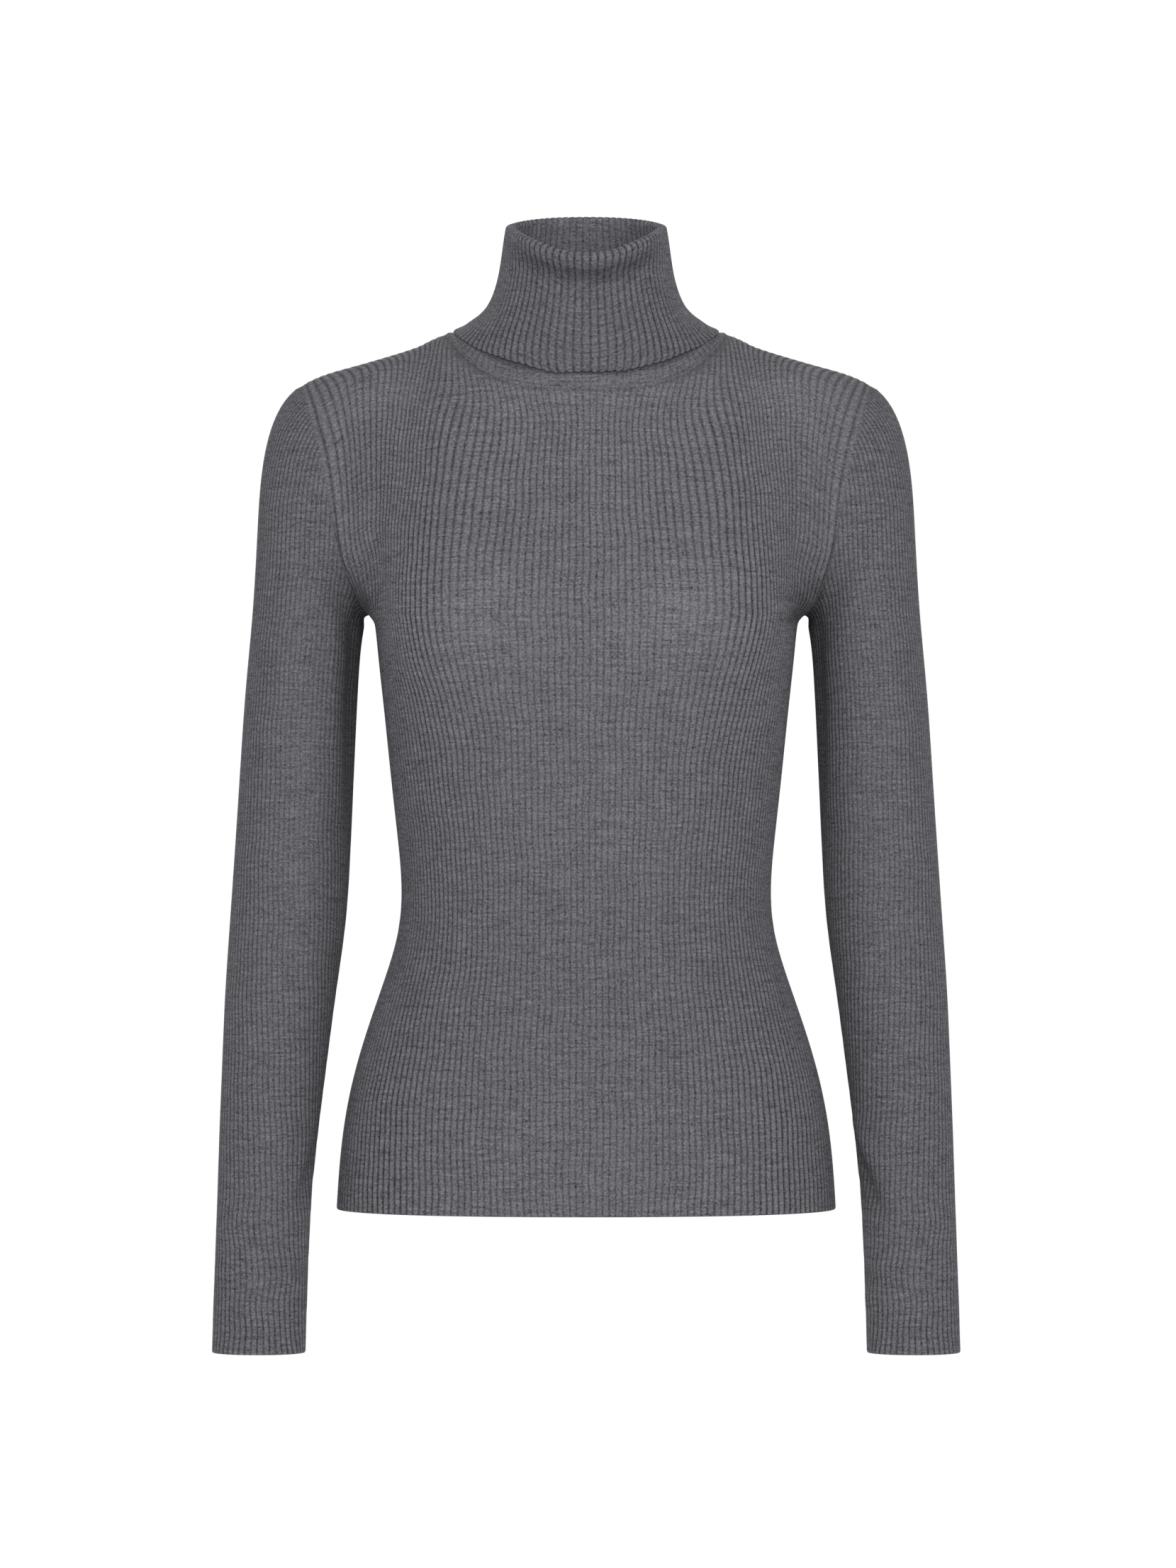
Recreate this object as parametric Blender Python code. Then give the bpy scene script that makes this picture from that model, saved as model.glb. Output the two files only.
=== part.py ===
"""Ribbed turtleneck sweater with long sleeves, filled out as if worn and hollow inside.

Five knitted pieces, each one closed wall of cloth: front, back, sleeve_left, sleeve_right and
collar. The front reaches over the shoulders, to seams that lie a little to the back. The collar
is one tube: its inner layer stands up from the neck seam, rolls over at the top and falls back
down outside as a second layer, open at its free edge.

The origin is the middle of the neck's base, level with its two highest side points. +Z is up,
-Y is the wearer's front and +X the wearer's left. The form is worked out in millimetres as the
middle of the cloth, and each piece is then given its thickness and made in metres.
"""

import math

import bpy
import numpy as np

MM = 0.001

# ---- Driving sizes, in millimetres ----
CLOTH = 1.6              # thickness of the ribbed cloth
SEAM_GAP = 0.3           # clearance between two pieces along a seam
HEM_HEIGHT = -586.6      # lower edge of the body
UNDERARM_HEIGHT = -190.5
CUFF_HEIGHT = -680.5     # lower edge of the sleeves
CAP_UNDER = -236.0       # where the sleeve's cap has become a plain tube, under the arm
CAP_OVER = -140.0        # and on its outer side
UNDERARM_FLARE = 4.4     # how far the side swings out to meet the sleeve under the arm
FLARE_REACH = 3.0        # the height over which it does most of it
FLARE_DROP = 7.0         # and over which it does all of it
FLARE_FROM = 0.3         # how far round to the side it begins, in half turns
SIDE_SEAM_BACK = 2.0     # how far behind the body's middle the side seam runs
ROLL_RADIUS = 3.0        # of the collar's top fold, at the middle of the cloth
FOLD_REACH = 36.0        # how far below the fold the two layers have closed up
PAST_SEAM = 30.0         # how far the outer layer's path goes on past the neck seam
MIDDLE_STRETCH = 0.06    # how much wider than average the ribs in the middle of a panel lie
LAYER_GAP = 2.1          # between the middles of the collar's two layers, below the fold
PANEL_GAP = 3.0          # between the outer layer's middle and a panel's, where it lies over one
LIFT_REACH = 12.0        # how near the panels' edge the outer layer is lifted to lie over them

# ---- How finely each piece is divided ----
NECK_COLUMNS = 8         # from the centre line to the neck's side, on each half of a panel
SHOULDER_COLUMNS = 5     # and from there on to the side seam
BODY_ROWS = 11           # from the hem to the underarm
YOKE_ROWS = 10           # from the underarm to the shoulder
SLEEVE_ROWS = 12         # along the plain tube of a sleeve
CAP_ROWS = 6             # from the armhole to the plain tube
INNER_ROWS = 6           # up the collar's inner layer
FOLD_ROWS = 4            # round its top fold
OUTER_ROWS = 6           # down its outer layer

# ---- Sections and edges of the form ----
# The body's level sections: half width, and depth in front of and behind the side seam. A
# squareness of 2 is an ellipse, and more is flatter in the middle and rounder at the sides.
BODY = (
    # height, half_width, front, back, front_squareness, back_squareness
    (-586.6, 165.8, 101.0, 118.0, 2.25, 2.30),   # hem, at the hips
    (-546.0, 162.7, 103.0, 113.0, 2.25, 2.30),
    (-508.0, 156.6, 102.5, 105.0, 2.25, 2.25),
    (-470.0, 146.2, 99.5, 95.5, 2.20, 2.20),
    (-432.0, 133.3, 95.0, 87.5, 2.20, 2.20),
    (-400.0, 124.5, 91.5, 84.0, 2.20, 2.20),
    (-370.0, 122.5, 90.5, 84.0, 2.20, 2.20),     # waist
    (-335.0, 125.3, 93.5, 87.5, 2.25, 2.20),
    (-299.0, 129.2, 100.5, 93.0, 2.35, 2.20),
    (-252.0, 134.0, 112.0, 99.0, 2.50, 2.20),
    (-215.0, 138.0, 117.5, 102.0, 2.55, 2.25),   # bust
    (-190.5, 140.2, 117.5, 103.5, 2.50, 2.30),   # underarm
)

# The neck seam, from the middle of the front (turn 0) to the middle of the back (turn 180),
# and the direction in which the cloth passes through it, up into the collar.
NECK = (
    # turn, x, y, z, up_x, up_y, up_z
    (0.0, 0.0, -76.0, -40.0, 0.00, 0.22, 0.98),
    (30.0, 47.0, -69.0, -36.0, -0.12, 0.25, 0.96),
    (55.0, 74.5, -48.0, -22.5, -0.52, 0.34, 0.78),
    (75.0, 87.0, -21.0, -9.5, -0.85, 0.24, 0.47),
    (95.0, 91.5, 10.0, -1.5, -0.94, -0.06, 0.33),
    (125.0, 76.0, 36.0, 2.0, -0.76, -0.34, 0.56),
    (150.0, 45.0, 49.0, 6.5, -0.34, -0.40, 0.85),
    (180.0, 0.0, 53.0, 8.0, 0.00, -0.38, 0.92),
)
NECK_SHARE = 0.48        # share of a panel's half width that ends at the neck

# Where the ribs end, by their share of a panel's half width: the front's and back's along the
# neck seam, and both along the shoulder seam.
NECK_ENDS = {
    "front": (
        # share, turn
        (0.00, 0.0),
        (0.10, 13.5),
        (0.20, 27.0),
        (0.30, 43.0),
        (0.36, 56.0),
        (0.42, 73.0),
        (0.48, 95.0),
    ),
    "back": (
        (0.00, 180.0),
        (0.10, 166.5),
        (0.20, 153.0),
        (0.30, 138.0),
        (0.40, 117.0),
        (0.48, 95.0),
    ),
}
SHOULDER_ENDS = (
    # share, out
    (0.48, 0.00),
    (0.64, 0.39),
    (0.80, 0.75),
    (0.90, 0.89),
    (1.00, 1.00),
)

# The shoulder seam, from the neck (out 0) to the armhole (out 1).
SHOULDER = (
    # out, x, y, z
    (0.0, 91.5, 10.0, -1.5),
    (0.2, 110.0, 12.0, -9.3),
    (0.6, 150.0, 13.0, -22.0),
    (1.0, 190.0, 11.0, -35.0),
)

# The left armhole, from the underarm (round 0) up its front edge to the shoulder (1) and down its
# back edge (2), and the direction in which the cloth passes through it, out into the sleeve.
ARMHOLE = (
    # round, x, y, z, out_x, out_y, out_z
    (0.00, 145.6, 2.0, -190.5, 1.00, 0.00, 0.00),
    (0.10, 150.5, -24.0, -181.5, 0.86, 0.50, 0.00),
    (0.22, 158.5, -39.5, -165.0, 0.88, 0.46, 0.00),
    (0.38, 166.3, -46.0, -138.0, 0.94, 0.33, -0.05),
    (0.60, 173.3, -43.0, -98.0, 0.97, 0.15, -0.12),
    (0.80, 182.6, -26.5, -60.0, 0.94, 0.03, -0.34),
    (0.92, 188.2, -6.0, -41.0, 0.88, 0.00, -0.47),
    (1.00, 190.0, 11.0, -35.0, 0.86, 0.00, -0.50),
    (1.08, 189.6, 26.5, -41.0, 0.88, -0.02, -0.47),
    (1.20, 185.6, 41.5, -60.0, 0.93, -0.12, -0.34),
    (1.40, 178.5, 52.0, -98.0, 0.95, -0.24, -0.12),
    (1.62, 171.5, 51.0, -138.0, 0.92, -0.38, -0.05),
    (1.78, 162.0, 43.0, -165.0, 0.88, -0.46, 0.00),
    (1.90, 152.0, 26.0, -181.5, 0.86, -0.50, 0.00),
    (2.00, 145.6, 2.0, -190.5, 1.00, 0.00, 0.00),
)
ARMHOLE_LEAD = 0.35      # how far a panel's rows run ahead at the armhole, to lie level across it

# How strongly a panel's columns keep their direction from the underarm and into their top end.
COLUMN_PULL = {
    "front": (
        # share, bottom, top
        (0.00, 165.0, 100.0),
        (0.25, 180.0, 110.0),
        (0.48, 235.0, 115.0),
        (0.60, 255.0, 130.0),
        (0.75, 275.0, 140.0),
    ),
    "back": (
        (0.00, 255.0, 110.0),
        (0.25, 260.0, 110.0),
        (0.48, 270.0, 100.0),
        (0.75, 280.0, 105.0),
    ),
}
OVER_SHOULDER = (0.05, 0.97, -0.20)    # the front's way across the shoulder seam, to the back
TURN_OVER = (0.45, 1.55)  # where the columns' ends turn from going up to going over, in neck shares
ARM_SHARE = 0.70         # from here out, a panel bends round to meet the armhole
ARM_BEND = 1.15          # how strongly it keeps its direction at both ends of that bend
UNDERARM_POWER = 3       # how soon above the underarm the bend leaves the body's level section
CORNER_WIDTH = 0.09      # share over which the corner of neck and shoulder is eased in a panel
CORNER_TIP = 0.10        # share beside the armhole over which that easing fades out
CORNER_POWER = 9         # how closely the sharp corner itself keeps to the panel's top edge

# The left sleeve's level sections, from the cuff up: the middle, half the width and half the depth.
SLEEVE = (
    # height, middle_x, middle_y, half_width, half_depth
    (-680.5, 218.0, -31.0, 29.9, 26.5),          # cuff
    (-632.0, 216.7, -26.0, 30.0, 28.5),
    (-584.0, 214.9, -21.0, 30.3, 31.0),
    (-537.0, 212.2, -15.0, 31.7, 33.5),
    (-489.0, 208.5, -9.0, 33.8, 36.5),
    (-442.0, 204.6, -3.0, 35.9, 39.5),
    (-394.0, 200.0, 3.0, 37.6, 42.0),
    (-347.0, 196.9, 6.0, 37.6, 44.0),            # elbow
    (-299.0, 194.2, 5.0, 37.1, 45.0),
    (-236.0, 190.4, 3.0, 36.4, 46.0),
    (-190.0, 187.0, 2.0, 35.6, 46.0),
    (-138.0, 184.0, 2.0, 35.4, 45.0),
)
SLEEVE_SQUARENESS = 2.1

# How strongly the cloth of the sleeve's cap leaves the armhole, away from the body and down along
# the seam, and how strongly it arrives at the tube.
CAP = {
    "over": {"out": 95.0, "down": 0.0, "arrive": 110.0},
    "side": {"out": 26.0, "down": 45.0, "arrive": 100.0},
    "under": {"out": 13.0, "down": 7.0, "arrive": 60.0},
}
UNDER_FROM = 0.75        # how far round from the top the part under the arm begins

# The middle of the cloth along the collar's top, under its fold.
COLLAR_TOP = {"half_width": 46.5, "half_depth": 50.5, "middle_y": -17.0,
              "height": 62.7, "forward_dip": 16.7, "side_lift": 2.2}

COLLAR_LEAN = 0.24       # how far the top leans in as it rises
SEAM_PULL = 1.25         # how long the inner layer keeps its direction from the neck seam
TOP_PULL = 1.7           # and its direction into the fold

# How long the collar's outer layer is, from the fold to the free edge.
OUTER_LENGTH = (
    # turn, length
    (0.0, 74.0),
    (45.0, 79.0),
    (75.0, 85.0),
    (95.0, 88.5),
    (135.0, 88.0),
    (180.0, 84.0),
)

SHARP = math.radians(40)  # the least angle that shows as an edge

# ---- Colours, in linear values: a charcoal grey wool with a little light fibre ----
WOOL = (0.135, 0.130, 0.145, 1.0)
WOOL_IN_SHADE = (0.120, 0.116, 0.130, 1.0)
WOOL_ROUGHNESS = 0.95

FRONT, BACK = "front", "back"
FACING = {FRONT: -1.0, BACK: 1.0}


# ---------------------------------------------------------------- curves

def columns_of(rows):
    """A table's first column, and the others side by side."""
    values = np.array(rows, float)
    return values[:, 0], values[:, 1:]


def spline(rows, mirrored=False):
    """The smooth curve through a table's rows, as a function of its first column.

    A mirrored curve continues past both ends as its own reflection, so it is level there in
    every column but x, the first, which changes sign.
    """
    knots, values = columns_of(rows)
    if mirrored:
        sign = np.ones(values.shape[1])
        sign[0] = -1.0
        if values.shape[1] == 6:
            sign[3] = -1.0
        knots = np.concatenate((2 * knots[0] - knots[:0:-1], knots, 2 * knots[-1] - knots[-2::-1]))
        values = np.concatenate((values[:0:-1] * sign, values, values[-2::-1] * sign))
    count = len(knots)
    step = np.diff(knots)
    slope = np.diff(values, axis=0) / step[:, None]
    system = np.eye(count)
    right = np.zeros_like(values)
    for i in range(1, count - 1):
        system[i, i - 1:i + 2] = step[i - 1], 2 * (step[i - 1] + step[i]), step[i]
        right[i] = 6 * (slope[i] - slope[i - 1])
    bend = np.linalg.solve(system, right)

    def at(where):
        where = np.asarray(where, float)
        i = np.clip(np.searchsorted(knots, where, side="right") - 1, 0, count - 2)
        width = step[i][..., None]
        low = (knots[i + 1] - where)[..., None] / width
        high = (where - knots[i])[..., None] / width
        return (low * values[i] + high * values[i + 1]
                + ((low ** 3 - low) * bend[i] + (high ** 3 - high) * bend[i + 1]) * width ** 2 / 6)

    return at


def hermite(start, end, leave, arrive, share):
    """The cubic from start to end with the given tangents, at a share of the way."""
    s = share
    return (start * (2 * s ** 3 - 3 * s ** 2 + 1) + end * (3 * s ** 2 - 2 * s ** 3)
            + leave * (s ** 3 - 2 * s ** 2 + s) + arrive * (s ** 3 - s ** 2))


def smooth_step(value, low, high):
    """0 below low, 1 above high, and an easy curve between."""
    share = np.clip((value - low) / (high - low), 0.0, 1.0)
    return share * share * (3 - 2 * share)


def unit(vectors):
    """Vectors of length one in the same directions."""
    return vectors / np.linalg.norm(vectors, axis=-1, keepdims=True)


def superellipse(turn, ahead, beside, square):
    """How far a section reaches from its middle at a turn, from its two half axes."""
    return ((np.abs(np.cos(turn)) / ahead) ** square
            + (np.abs(np.sin(turn)) / beside) ** square) ** (-1 / square)


def spread(outline, shares):
    """Points of an outline at shares of its ribs, which lie wider apart in the middle."""
    reach = np.concatenate(([0.0], np.cumsum(np.linalg.norm(np.diff(outline, axis=0), axis=1))))
    wanted = (shares + MIDDLE_STRETCH * shares * (1 - shares ** 2)) * reach[-1]
    return np.stack([np.interp(wanted, reach, outline[:, axis]) for axis in range(3)], axis=-1)


BODY_AT = spline(BODY)
NECK_AT = spline(NECK, mirrored=True)
SHOULDER_AT = spline(SHOULDER)
ARMHOLE_AT = spline(ARMHOLE)
SLEEVE_AT = spline(SLEEVE)
OUTER_LENGTH_AT = spline(OUTER_LENGTH)
NECK_ENDS_AT = {side: spline(rows) for side, rows in NECK_ENDS.items()}
SHOULDER_ENDS_AT = spline(SHOULDER_ENDS)
COLUMN_PULL_AT = {side: spline(rows) for side, rows in COLUMN_PULL.items()}
FINE = 181               # points on an outline before it is divided evenly
NEAR = 0.01              # a small step, to measure a slope
EASING_SAMPLES = 11      # points over which the corner of neck and shoulder is averaged
PANEL_SAMPLES = 81       # rows and columns of a panel's points, to find the nearest
PANEL_FROM = 0.5         # how far up the yoke the collar's outer layer can come near it


# ---------------------------------------------------------------- body

def body_ring(side, height, shares, flare=UNDERARM_FLARE):
    """A panel's half section at a height, from the centre line (share 0) to the side (1)."""
    half_width, front, back, front_square, back_square = BODY_AT(height)
    depth, square = (front, front_square) if side == FRONT else (back, back_square)
    turn = np.linspace(0.0, math.pi / 2, FINE)
    reach = superellipse(turn, depth, half_width, square)
    near_side = smooth_step(turn, FLARE_FROM * math.pi, math.pi / 2)
    swing = flare * math.exp((height - UNDERARM_HEIGHT) / FLARE_REACH) * near_side
    outline = np.stack((reach * np.sin(turn) + swing,
                        FACING[side] * reach * np.cos(turn) + SIDE_SEAM_BACK * near_side,
                        np.full(FINE, height)), axis=-1)
    return spread(outline, shares)


def top_edge(side, shares):
    """Where a panel's columns end: at the neck seam, and further out at the shoulder seam."""
    neck = NECK_AT(neck_turn(side, shares))[..., :3]
    shoulder = SHOULDER_AT(SHOULDER_ENDS_AT(np.maximum(shares, NECK_SHARE))[..., 0])
    return np.where((shares < NECK_SHARE)[..., None], neck, shoulder)


def neck_turn(side, shares):
    """The turn round the neck at which a column ends."""
    return NECK_ENDS_AT[side](np.minimum(shares, NECK_SHARE))[..., 0]


def top_tangent(side, shares):
    """The direction of a column where it ends."""
    over = np.array(OVER_SHOULDER) * -FACING[side]
    up = NECK_AT(neck_turn(side, shares))[..., 3:]
    turning = smooth_step(shares / NECK_SHARE, *TURN_OVER)[..., None]
    return unit(up * (1 - turning) + over * turning)


def eased(curve, side, shares):
    """A curve along a panel's top edge, with its corner at the neck's side rounded off."""
    offsets = np.linspace(-1.0, 1.0, EASING_SAMPLES + 2)[1:-1]
    weights = 1 - offsets ** 2
    reach = (CORNER_WIDTH * smooth_step(shares, 0.0, 2 * CORNER_WIDTH)
             * smooth_step(1 - shares, 0.0, CORNER_TIP))
    return sum(weight * curve(side, shares + offset * reach)
               for offset, weight in zip(offsets, weights / weights.sum()))


def yoke(side, shares, alongs):
    """A panel's half above the underarm, as points[along, share]."""
    inner = shares[shares < ARM_SHARE]
    columns = yoke_columns(side, np.append(inner, (ARM_SHARE - NEAR, ARM_SHARE)), alongs)
    edge = armhole(side, alongs)[:, None]
    start, leave = columns[:, -1:], unit(columns[:, -1:] - columns[:, -2:-1])
    seam, arrive = edge[..., :3], unit(edge[..., 3:])
    reach = np.linalg.norm(seam - start, axis=-1, keepdims=True) * ARM_BEND
    outer = (shares[shares >= ARM_SHARE] - ARM_SHARE) / (1 - ARM_SHARE)
    bend = hermite(start, seam, leave * reach, arrive * reach, outer[None, :, None])
    ring = body_ring(side, UNDERARM_HEIGHT, shares[shares >= ARM_SHARE])
    bend += (ring - bend[0]) * ((1 - alongs) ** UNDERARM_POWER)[:, None, None]
    return np.concatenate((columns[:, :len(inner)], bend), axis=1)


def lead(alongs):
    """How far up the armhole a row has come, at a share of the way up the panel."""
    return alongs * (1 + ARMHOLE_LEAD * (1 - alongs))


def armhole(side, alongs):
    """The armhole's edge on one panel, from the underarm (0) to the shoulder (1)."""
    return ARMHOLE_AT(lead(alongs) if side == FRONT else 2 - lead(alongs))


def yoke_columns(side, shares, alongs):
    """The part of the yoke inside the armhole's bend, whose columns run up over the shoulder."""
    base = body_ring(side, UNDERARM_HEIGHT, shares)
    rise = (body_ring(side, UNDERARM_HEIGHT, shares, flare=0.0)
            - body_ring(side, UNDERARM_HEIGHT - NEAR, shares, flare=0.0)) / NEAR
    pull = COLUMN_PULL_AT[side](shares)
    along = alongs[:, None, None]
    ends = eased(top_edge, side, shares)
    arrive = eased(top_tangent, side, shares) * pull[:, 1:]
    points = hermite(base, ends, rise * pull[:, :1], arrive, along)
    return points + (top_edge(side, shares) - ends) * along ** CORNER_POWER


def column_shares():
    """The shares of a panel's half width at which its columns run. One ends at the neck's side."""
    return np.append(np.linspace(0.0, NECK_SHARE, NECK_COLUMNS, endpoint=False),
                     np.linspace(NECK_SHARE, 1.0, SHOULDER_COLUMNS + 1))


def panel(side):
    """The middle of a whole panel's cloth, as points[row, column], hem first."""
    shares = column_shares()
    heights = np.linspace(HEM_HEIGHT, UNDERARM_HEIGHT - FLARE_DROP, BODY_ROWS)
    lower = np.stack([body_ring(side, height, shares) for height in heights])
    upper = yoke(side, shares, np.linspace(0.0, 1.0, YOKE_ROWS + 1))
    half = np.concatenate((lower, upper))
    other = half[:, :0:-1] * (-1.0, 1.0, 1.0)
    return np.concatenate((other, half), axis=1)


# ---------------------------------------------------------------- sleeves

def sleeve_ring(heights, turns):
    """The sleeve's section; turn 0 is away from the body, and a quarter turn on is the front."""
    middle_x, middle_y, half_width, half_depth = SLEEVE_AT(heights).T
    reach = superellipse(turns, half_width, half_depth, SLEEVE_SQUARENESS)
    return np.stack((middle_x + reach * np.cos(turns), middle_y - reach * np.sin(turns),
                     heights), axis=-1)


def sleeve():
    """The middle of the left sleeve's cloth, as points[row, column], armhole first.

    Columns go round from the shoulder point, down the armhole's front, under the arm and up
    its back; the first is repeated as the last.
    """
    alongs = np.linspace(0.0, 1.0, YOKE_ROWS + 1)
    edge = np.concatenate((armhole(FRONT, alongs[::-1]), armhole(BACK, alongs[1:])))
    seam, out = edge[:, :3], edge[:, 3:]
    turns = math.pi * np.append(1 - lead(alongs[::-1]), 1 + lead(alongs[1:]))
    away = 0.5 * (1 + np.cos(turns))[:, None]
    under = smooth_step(1.0 - np.abs(turns / math.pi - 1.0), UNDER_FROM, 1.0)[:, None]

    def round_arm(which):
        over, side, beneath = (CAP[place][which] for place in ("over", "side", "under"))
        return (over * away + side * (1 - away)) * (1 - under) + beneath * under

    upright = unit(np.cross(np.gradient(seam, axis=0), out))
    down = np.array((0.0, 0.0, -1.0)) + upright * upright[:, 2:]
    leave = unit(out) * round_arm("out") + down * round_arm("down")
    starts = CAP_UNDER + (CAP_OVER - CAP_UNDER) * away[:, 0]
    base = sleeve_ring(starts, turns)
    fall = sleeve_ring(starts - 1.0, turns) - base
    alongs = np.linspace(0.0, 1.0, CAP_ROWS + 1)[:, None, None]
    cap = hermite(seam, base, leave, fall * round_arm("arrive"), alongs)
    shares = np.linspace(0.0, 1.0, SLEEVE_ROWS + 1)[1:]
    tube = np.stack([sleeve_ring(starts + (CUFF_HEIGHT - starts) * share, turns)
                     for share in shares])
    return np.concatenate((cap, tube))


# ---------------------------------------------------------------- collar

def collar_top(turns):
    """The collar's highest line at the middle of its inner layer, and the way out from it."""
    cos, sin = np.cos(turns), np.sin(turns)
    top = COLLAR_TOP
    height = top["height"] - top["forward_dip"] * cos - top["side_lift"] * np.cos(2 * turns)
    points = np.stack((top["half_width"] * sin, top["middle_y"] - top["half_depth"] * cos, height),
                      axis=-1)
    outward = np.stack((sin * top["half_depth"], -cos * top["half_width"], 0 * turns), axis=-1)
    return points, unit(outward)


def collar():
    """The middle of the collar's cloth, as points[row, column], neck seam first.

    Its columns start where those of the panels end, from the middle of the back all round.
    """
    shares = column_shares()[:NECK_COLUMNS + 1]
    front, back = neck_turn(FRONT, shares), neck_turn(BACK, shares)
    half = np.radians(np.append(front, back[-2::-1]))
    turns = np.append(-half[:0:-1], half)
    neck = NECK_AT(np.degrees(np.abs(turns)))
    side = np.where(turns < 0, -1.0, 1.0)[:, None] * (1.0, 0.0, 0.0) + (0.0, 1.0, 1.0)
    seam, up = neck[:, :3] * side, unit(neck[:, 3:]) * side
    top, outward = collar_top(turns)
    reach = np.linalg.norm(top - seam, axis=1, keepdims=True)
    rise = np.linspace(0.0, 1.0, INNER_ROWS + 1)[:, None, None]
    arrive = unit(np.array((0.0, 0.0, 1.0)) - outward * COLLAR_LEAN)
    inner = hermite(seam, top, up * reach * SEAM_PULL, arrive * reach * TOP_PULL, rise)
    bends = np.linspace(0.0, math.pi, FOLD_ROWS + 1)[1:-1, None, None]
    fold = (top + outward * ROLL_RADIUS * (1 - np.cos(bends))
            + np.array((0.0, 0.0, 1.0)) * ROLL_RADIUS * np.sin(bends))
    outer = np.stack([outer_column(inner[:, i], outward[i], turns[i])
                      for i in range(len(turns))], axis=1)
    return np.concatenate((inner, fold, laid_over_panels(outer)))


def outer_column(inner, outward, turn):
    """The outer layer's points down one column: the inner layer's path, a layer further out.

    Past the neck seam the path goes straight on, so a long layer hangs over the back.
    """
    past = inner[0] + unit(inner[0] - inner[1]) * PAST_SEAM
    path = np.concatenate((inner[::-1], past[None]))
    lengths = np.concatenate(([0.0], np.cumsum(np.linalg.norm(np.diff(path, axis=0), axis=1))))
    down = np.linspace(0.0, OUTER_LENGTH_AT(abs(math.degrees(turn)))[0], OUTER_ROWS + 1)
    points = np.stack([np.interp(down, lengths, path[:, axis]) for axis in range(3)], axis=-1)
    direction = unit(np.gradient(points, axis=0))
    sideways = np.cross((0.0, 0.0, 1.0), outward)
    away = unit(np.cross(direction, sideways))
    away *= np.sign((away * outward).sum(axis=1, keepdims=True))
    gap = LAYER_GAP + (2 * ROLL_RADIUS - LAYER_GAP) * (1 - smooth_step(down, 0.0, FOLD_REACH))
    return points + away * gap[:, None]


def laid_over_panels(points):
    """The outer layer's points, moved out where they would come too near the front or the back."""
    shares = np.linspace(0.0, 1.0, PANEL_SAMPLES)
    alongs = np.linspace(PANEL_FROM, 1.0, PANEL_SAMPLES)
    near, normals = [], []
    for side in (FRONT, BACK):
        surface = yoke(side, shares, alongs)
        away = unit(grid_normals(surface)) * -FACING[side]
        for mirror in ((1.0, 1.0, 1.0), (-1.0, 1.0, 1.0)):
            near.append((surface * mirror).reshape(-1, 3))
            normals.append((away * mirror).reshape(-1, 3))
    near, normals = np.concatenate(near), np.concatenate(normals)
    moved = points.copy()
    for place in np.ndindex(points.shape[:2]):
        apart = ((points[place] - near) ** 2).sum(axis=1)
        nearest = np.argmin(apart)
        height = (points[place] - near[nearest]) @ normals[nearest]
        beside = math.sqrt(max(0.0, apart[nearest] - height ** 2))
        lift = max(0.0, PANEL_GAP - height) * (1 - smooth_step(beside, 0.0, LIFT_REACH))
        moved[place] += normals[nearest] * lift
    return moved


# ---------------------------------------------------------------- walls

def grid_normals(points):
    """Each point's outward direction times the area round it."""
    around = np.gradient(points, axis=1)
    along = np.gradient(points, axis=0)
    return np.cross(around, along)


def weld_key(point):
    """The same key for points of two pieces that meet at a seam."""
    return tuple(np.round(point, 3))


def shared_normals(grids):
    """Unit normals for every grid, the same on both sides of a seam."""
    sums = {}
    raw = {name: grid_normals(points) * facing for name, (points, facing) in grids.items()}
    for name, (points, _) in grids.items():
        for point, normal in zip(points.reshape(-1, 3), raw[name].reshape(-1, 3)):
            sums[weld_key(point)] = sums.get(weld_key(point), 0.0) + unit(normal)
    return {name: np.apply_along_axis(lambda point: unit(sums[weld_key(point)]), -1, points)
            for name, (points, _) in grids.items()}


def inset(points, normals, rows=(True, True), columns=(True, True)):
    """Draws a grid's edges in by half a seam's gap, square to the edge and along the cloth."""
    moved = points.copy()
    for edge, beside, wanted in ((0, 1, rows[0]), (-1, -2, rows[1])):
        if wanted:
            moved[edge] += edge_shift(points[edge], points[beside], normals[edge])
    for edge, beside, wanted in ((0, 1, columns[0]), (-1, -2, columns[1])):
        if wanted:
            moved[:, edge] += edge_shift(points[:, edge], points[:, beside], normals[:, edge])
    return moved


def edge_shift(edge, inner, normals):
    """Half a seam's gap towards the next points in, square to the edge and to the normals."""
    direction = unit(np.cross(np.gradient(edge, axis=0), normals))
    direction *= np.sign(((inner - edge) * direction).sum(axis=1, keepdims=True))
    return direction * SEAM_GAP / 2


def wall_faces(rows, columns, closed, corners):
    """A wall's two sides in quads, and its rims. The outer corners come first, then the inner."""
    def at(layer, row, column):
        return (layer * rows + row) * columns + (column % columns if closed else column)

    def rim(start, end):
        """Two triangles, whose shared edge slopes the same way on both sides of a seam."""
        outer = at(0, *start), at(0, *end)
        inner = at(1, *start), at(1, *end)
        if corners[outer[0]][2] > corners[outer[1]][2]:
            return [(outer[0], outer[1], inner[1]), (outer[0], inner[1], inner[0])]
        return [(outer[0], outer[1], inner[0]), (outer[1], inner[1], inner[0])]

    faces = []
    spans = columns if closed else columns - 1
    for row in range(rows - 1):
        for column in range(spans):
            quad = [(row, column), (row, column + 1), (row + 1, column + 1), (row + 1, column)]
            faces.append([at(0, *corner) for corner in quad])
            faces.append([at(1, *corner) for corner in reversed(quad)])
    for column in range(spans):
        faces += rim((0, column + 1), (0, column))
        faces += rim((rows - 1, column), (rows - 1, column + 1))
    if not closed:
        for row in range(rows - 1):
            faces += rim((row, 0), (row + 1, 0))
            faces += rim((row + 1, columns - 1), (row, columns - 1))
    return faces


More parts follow.
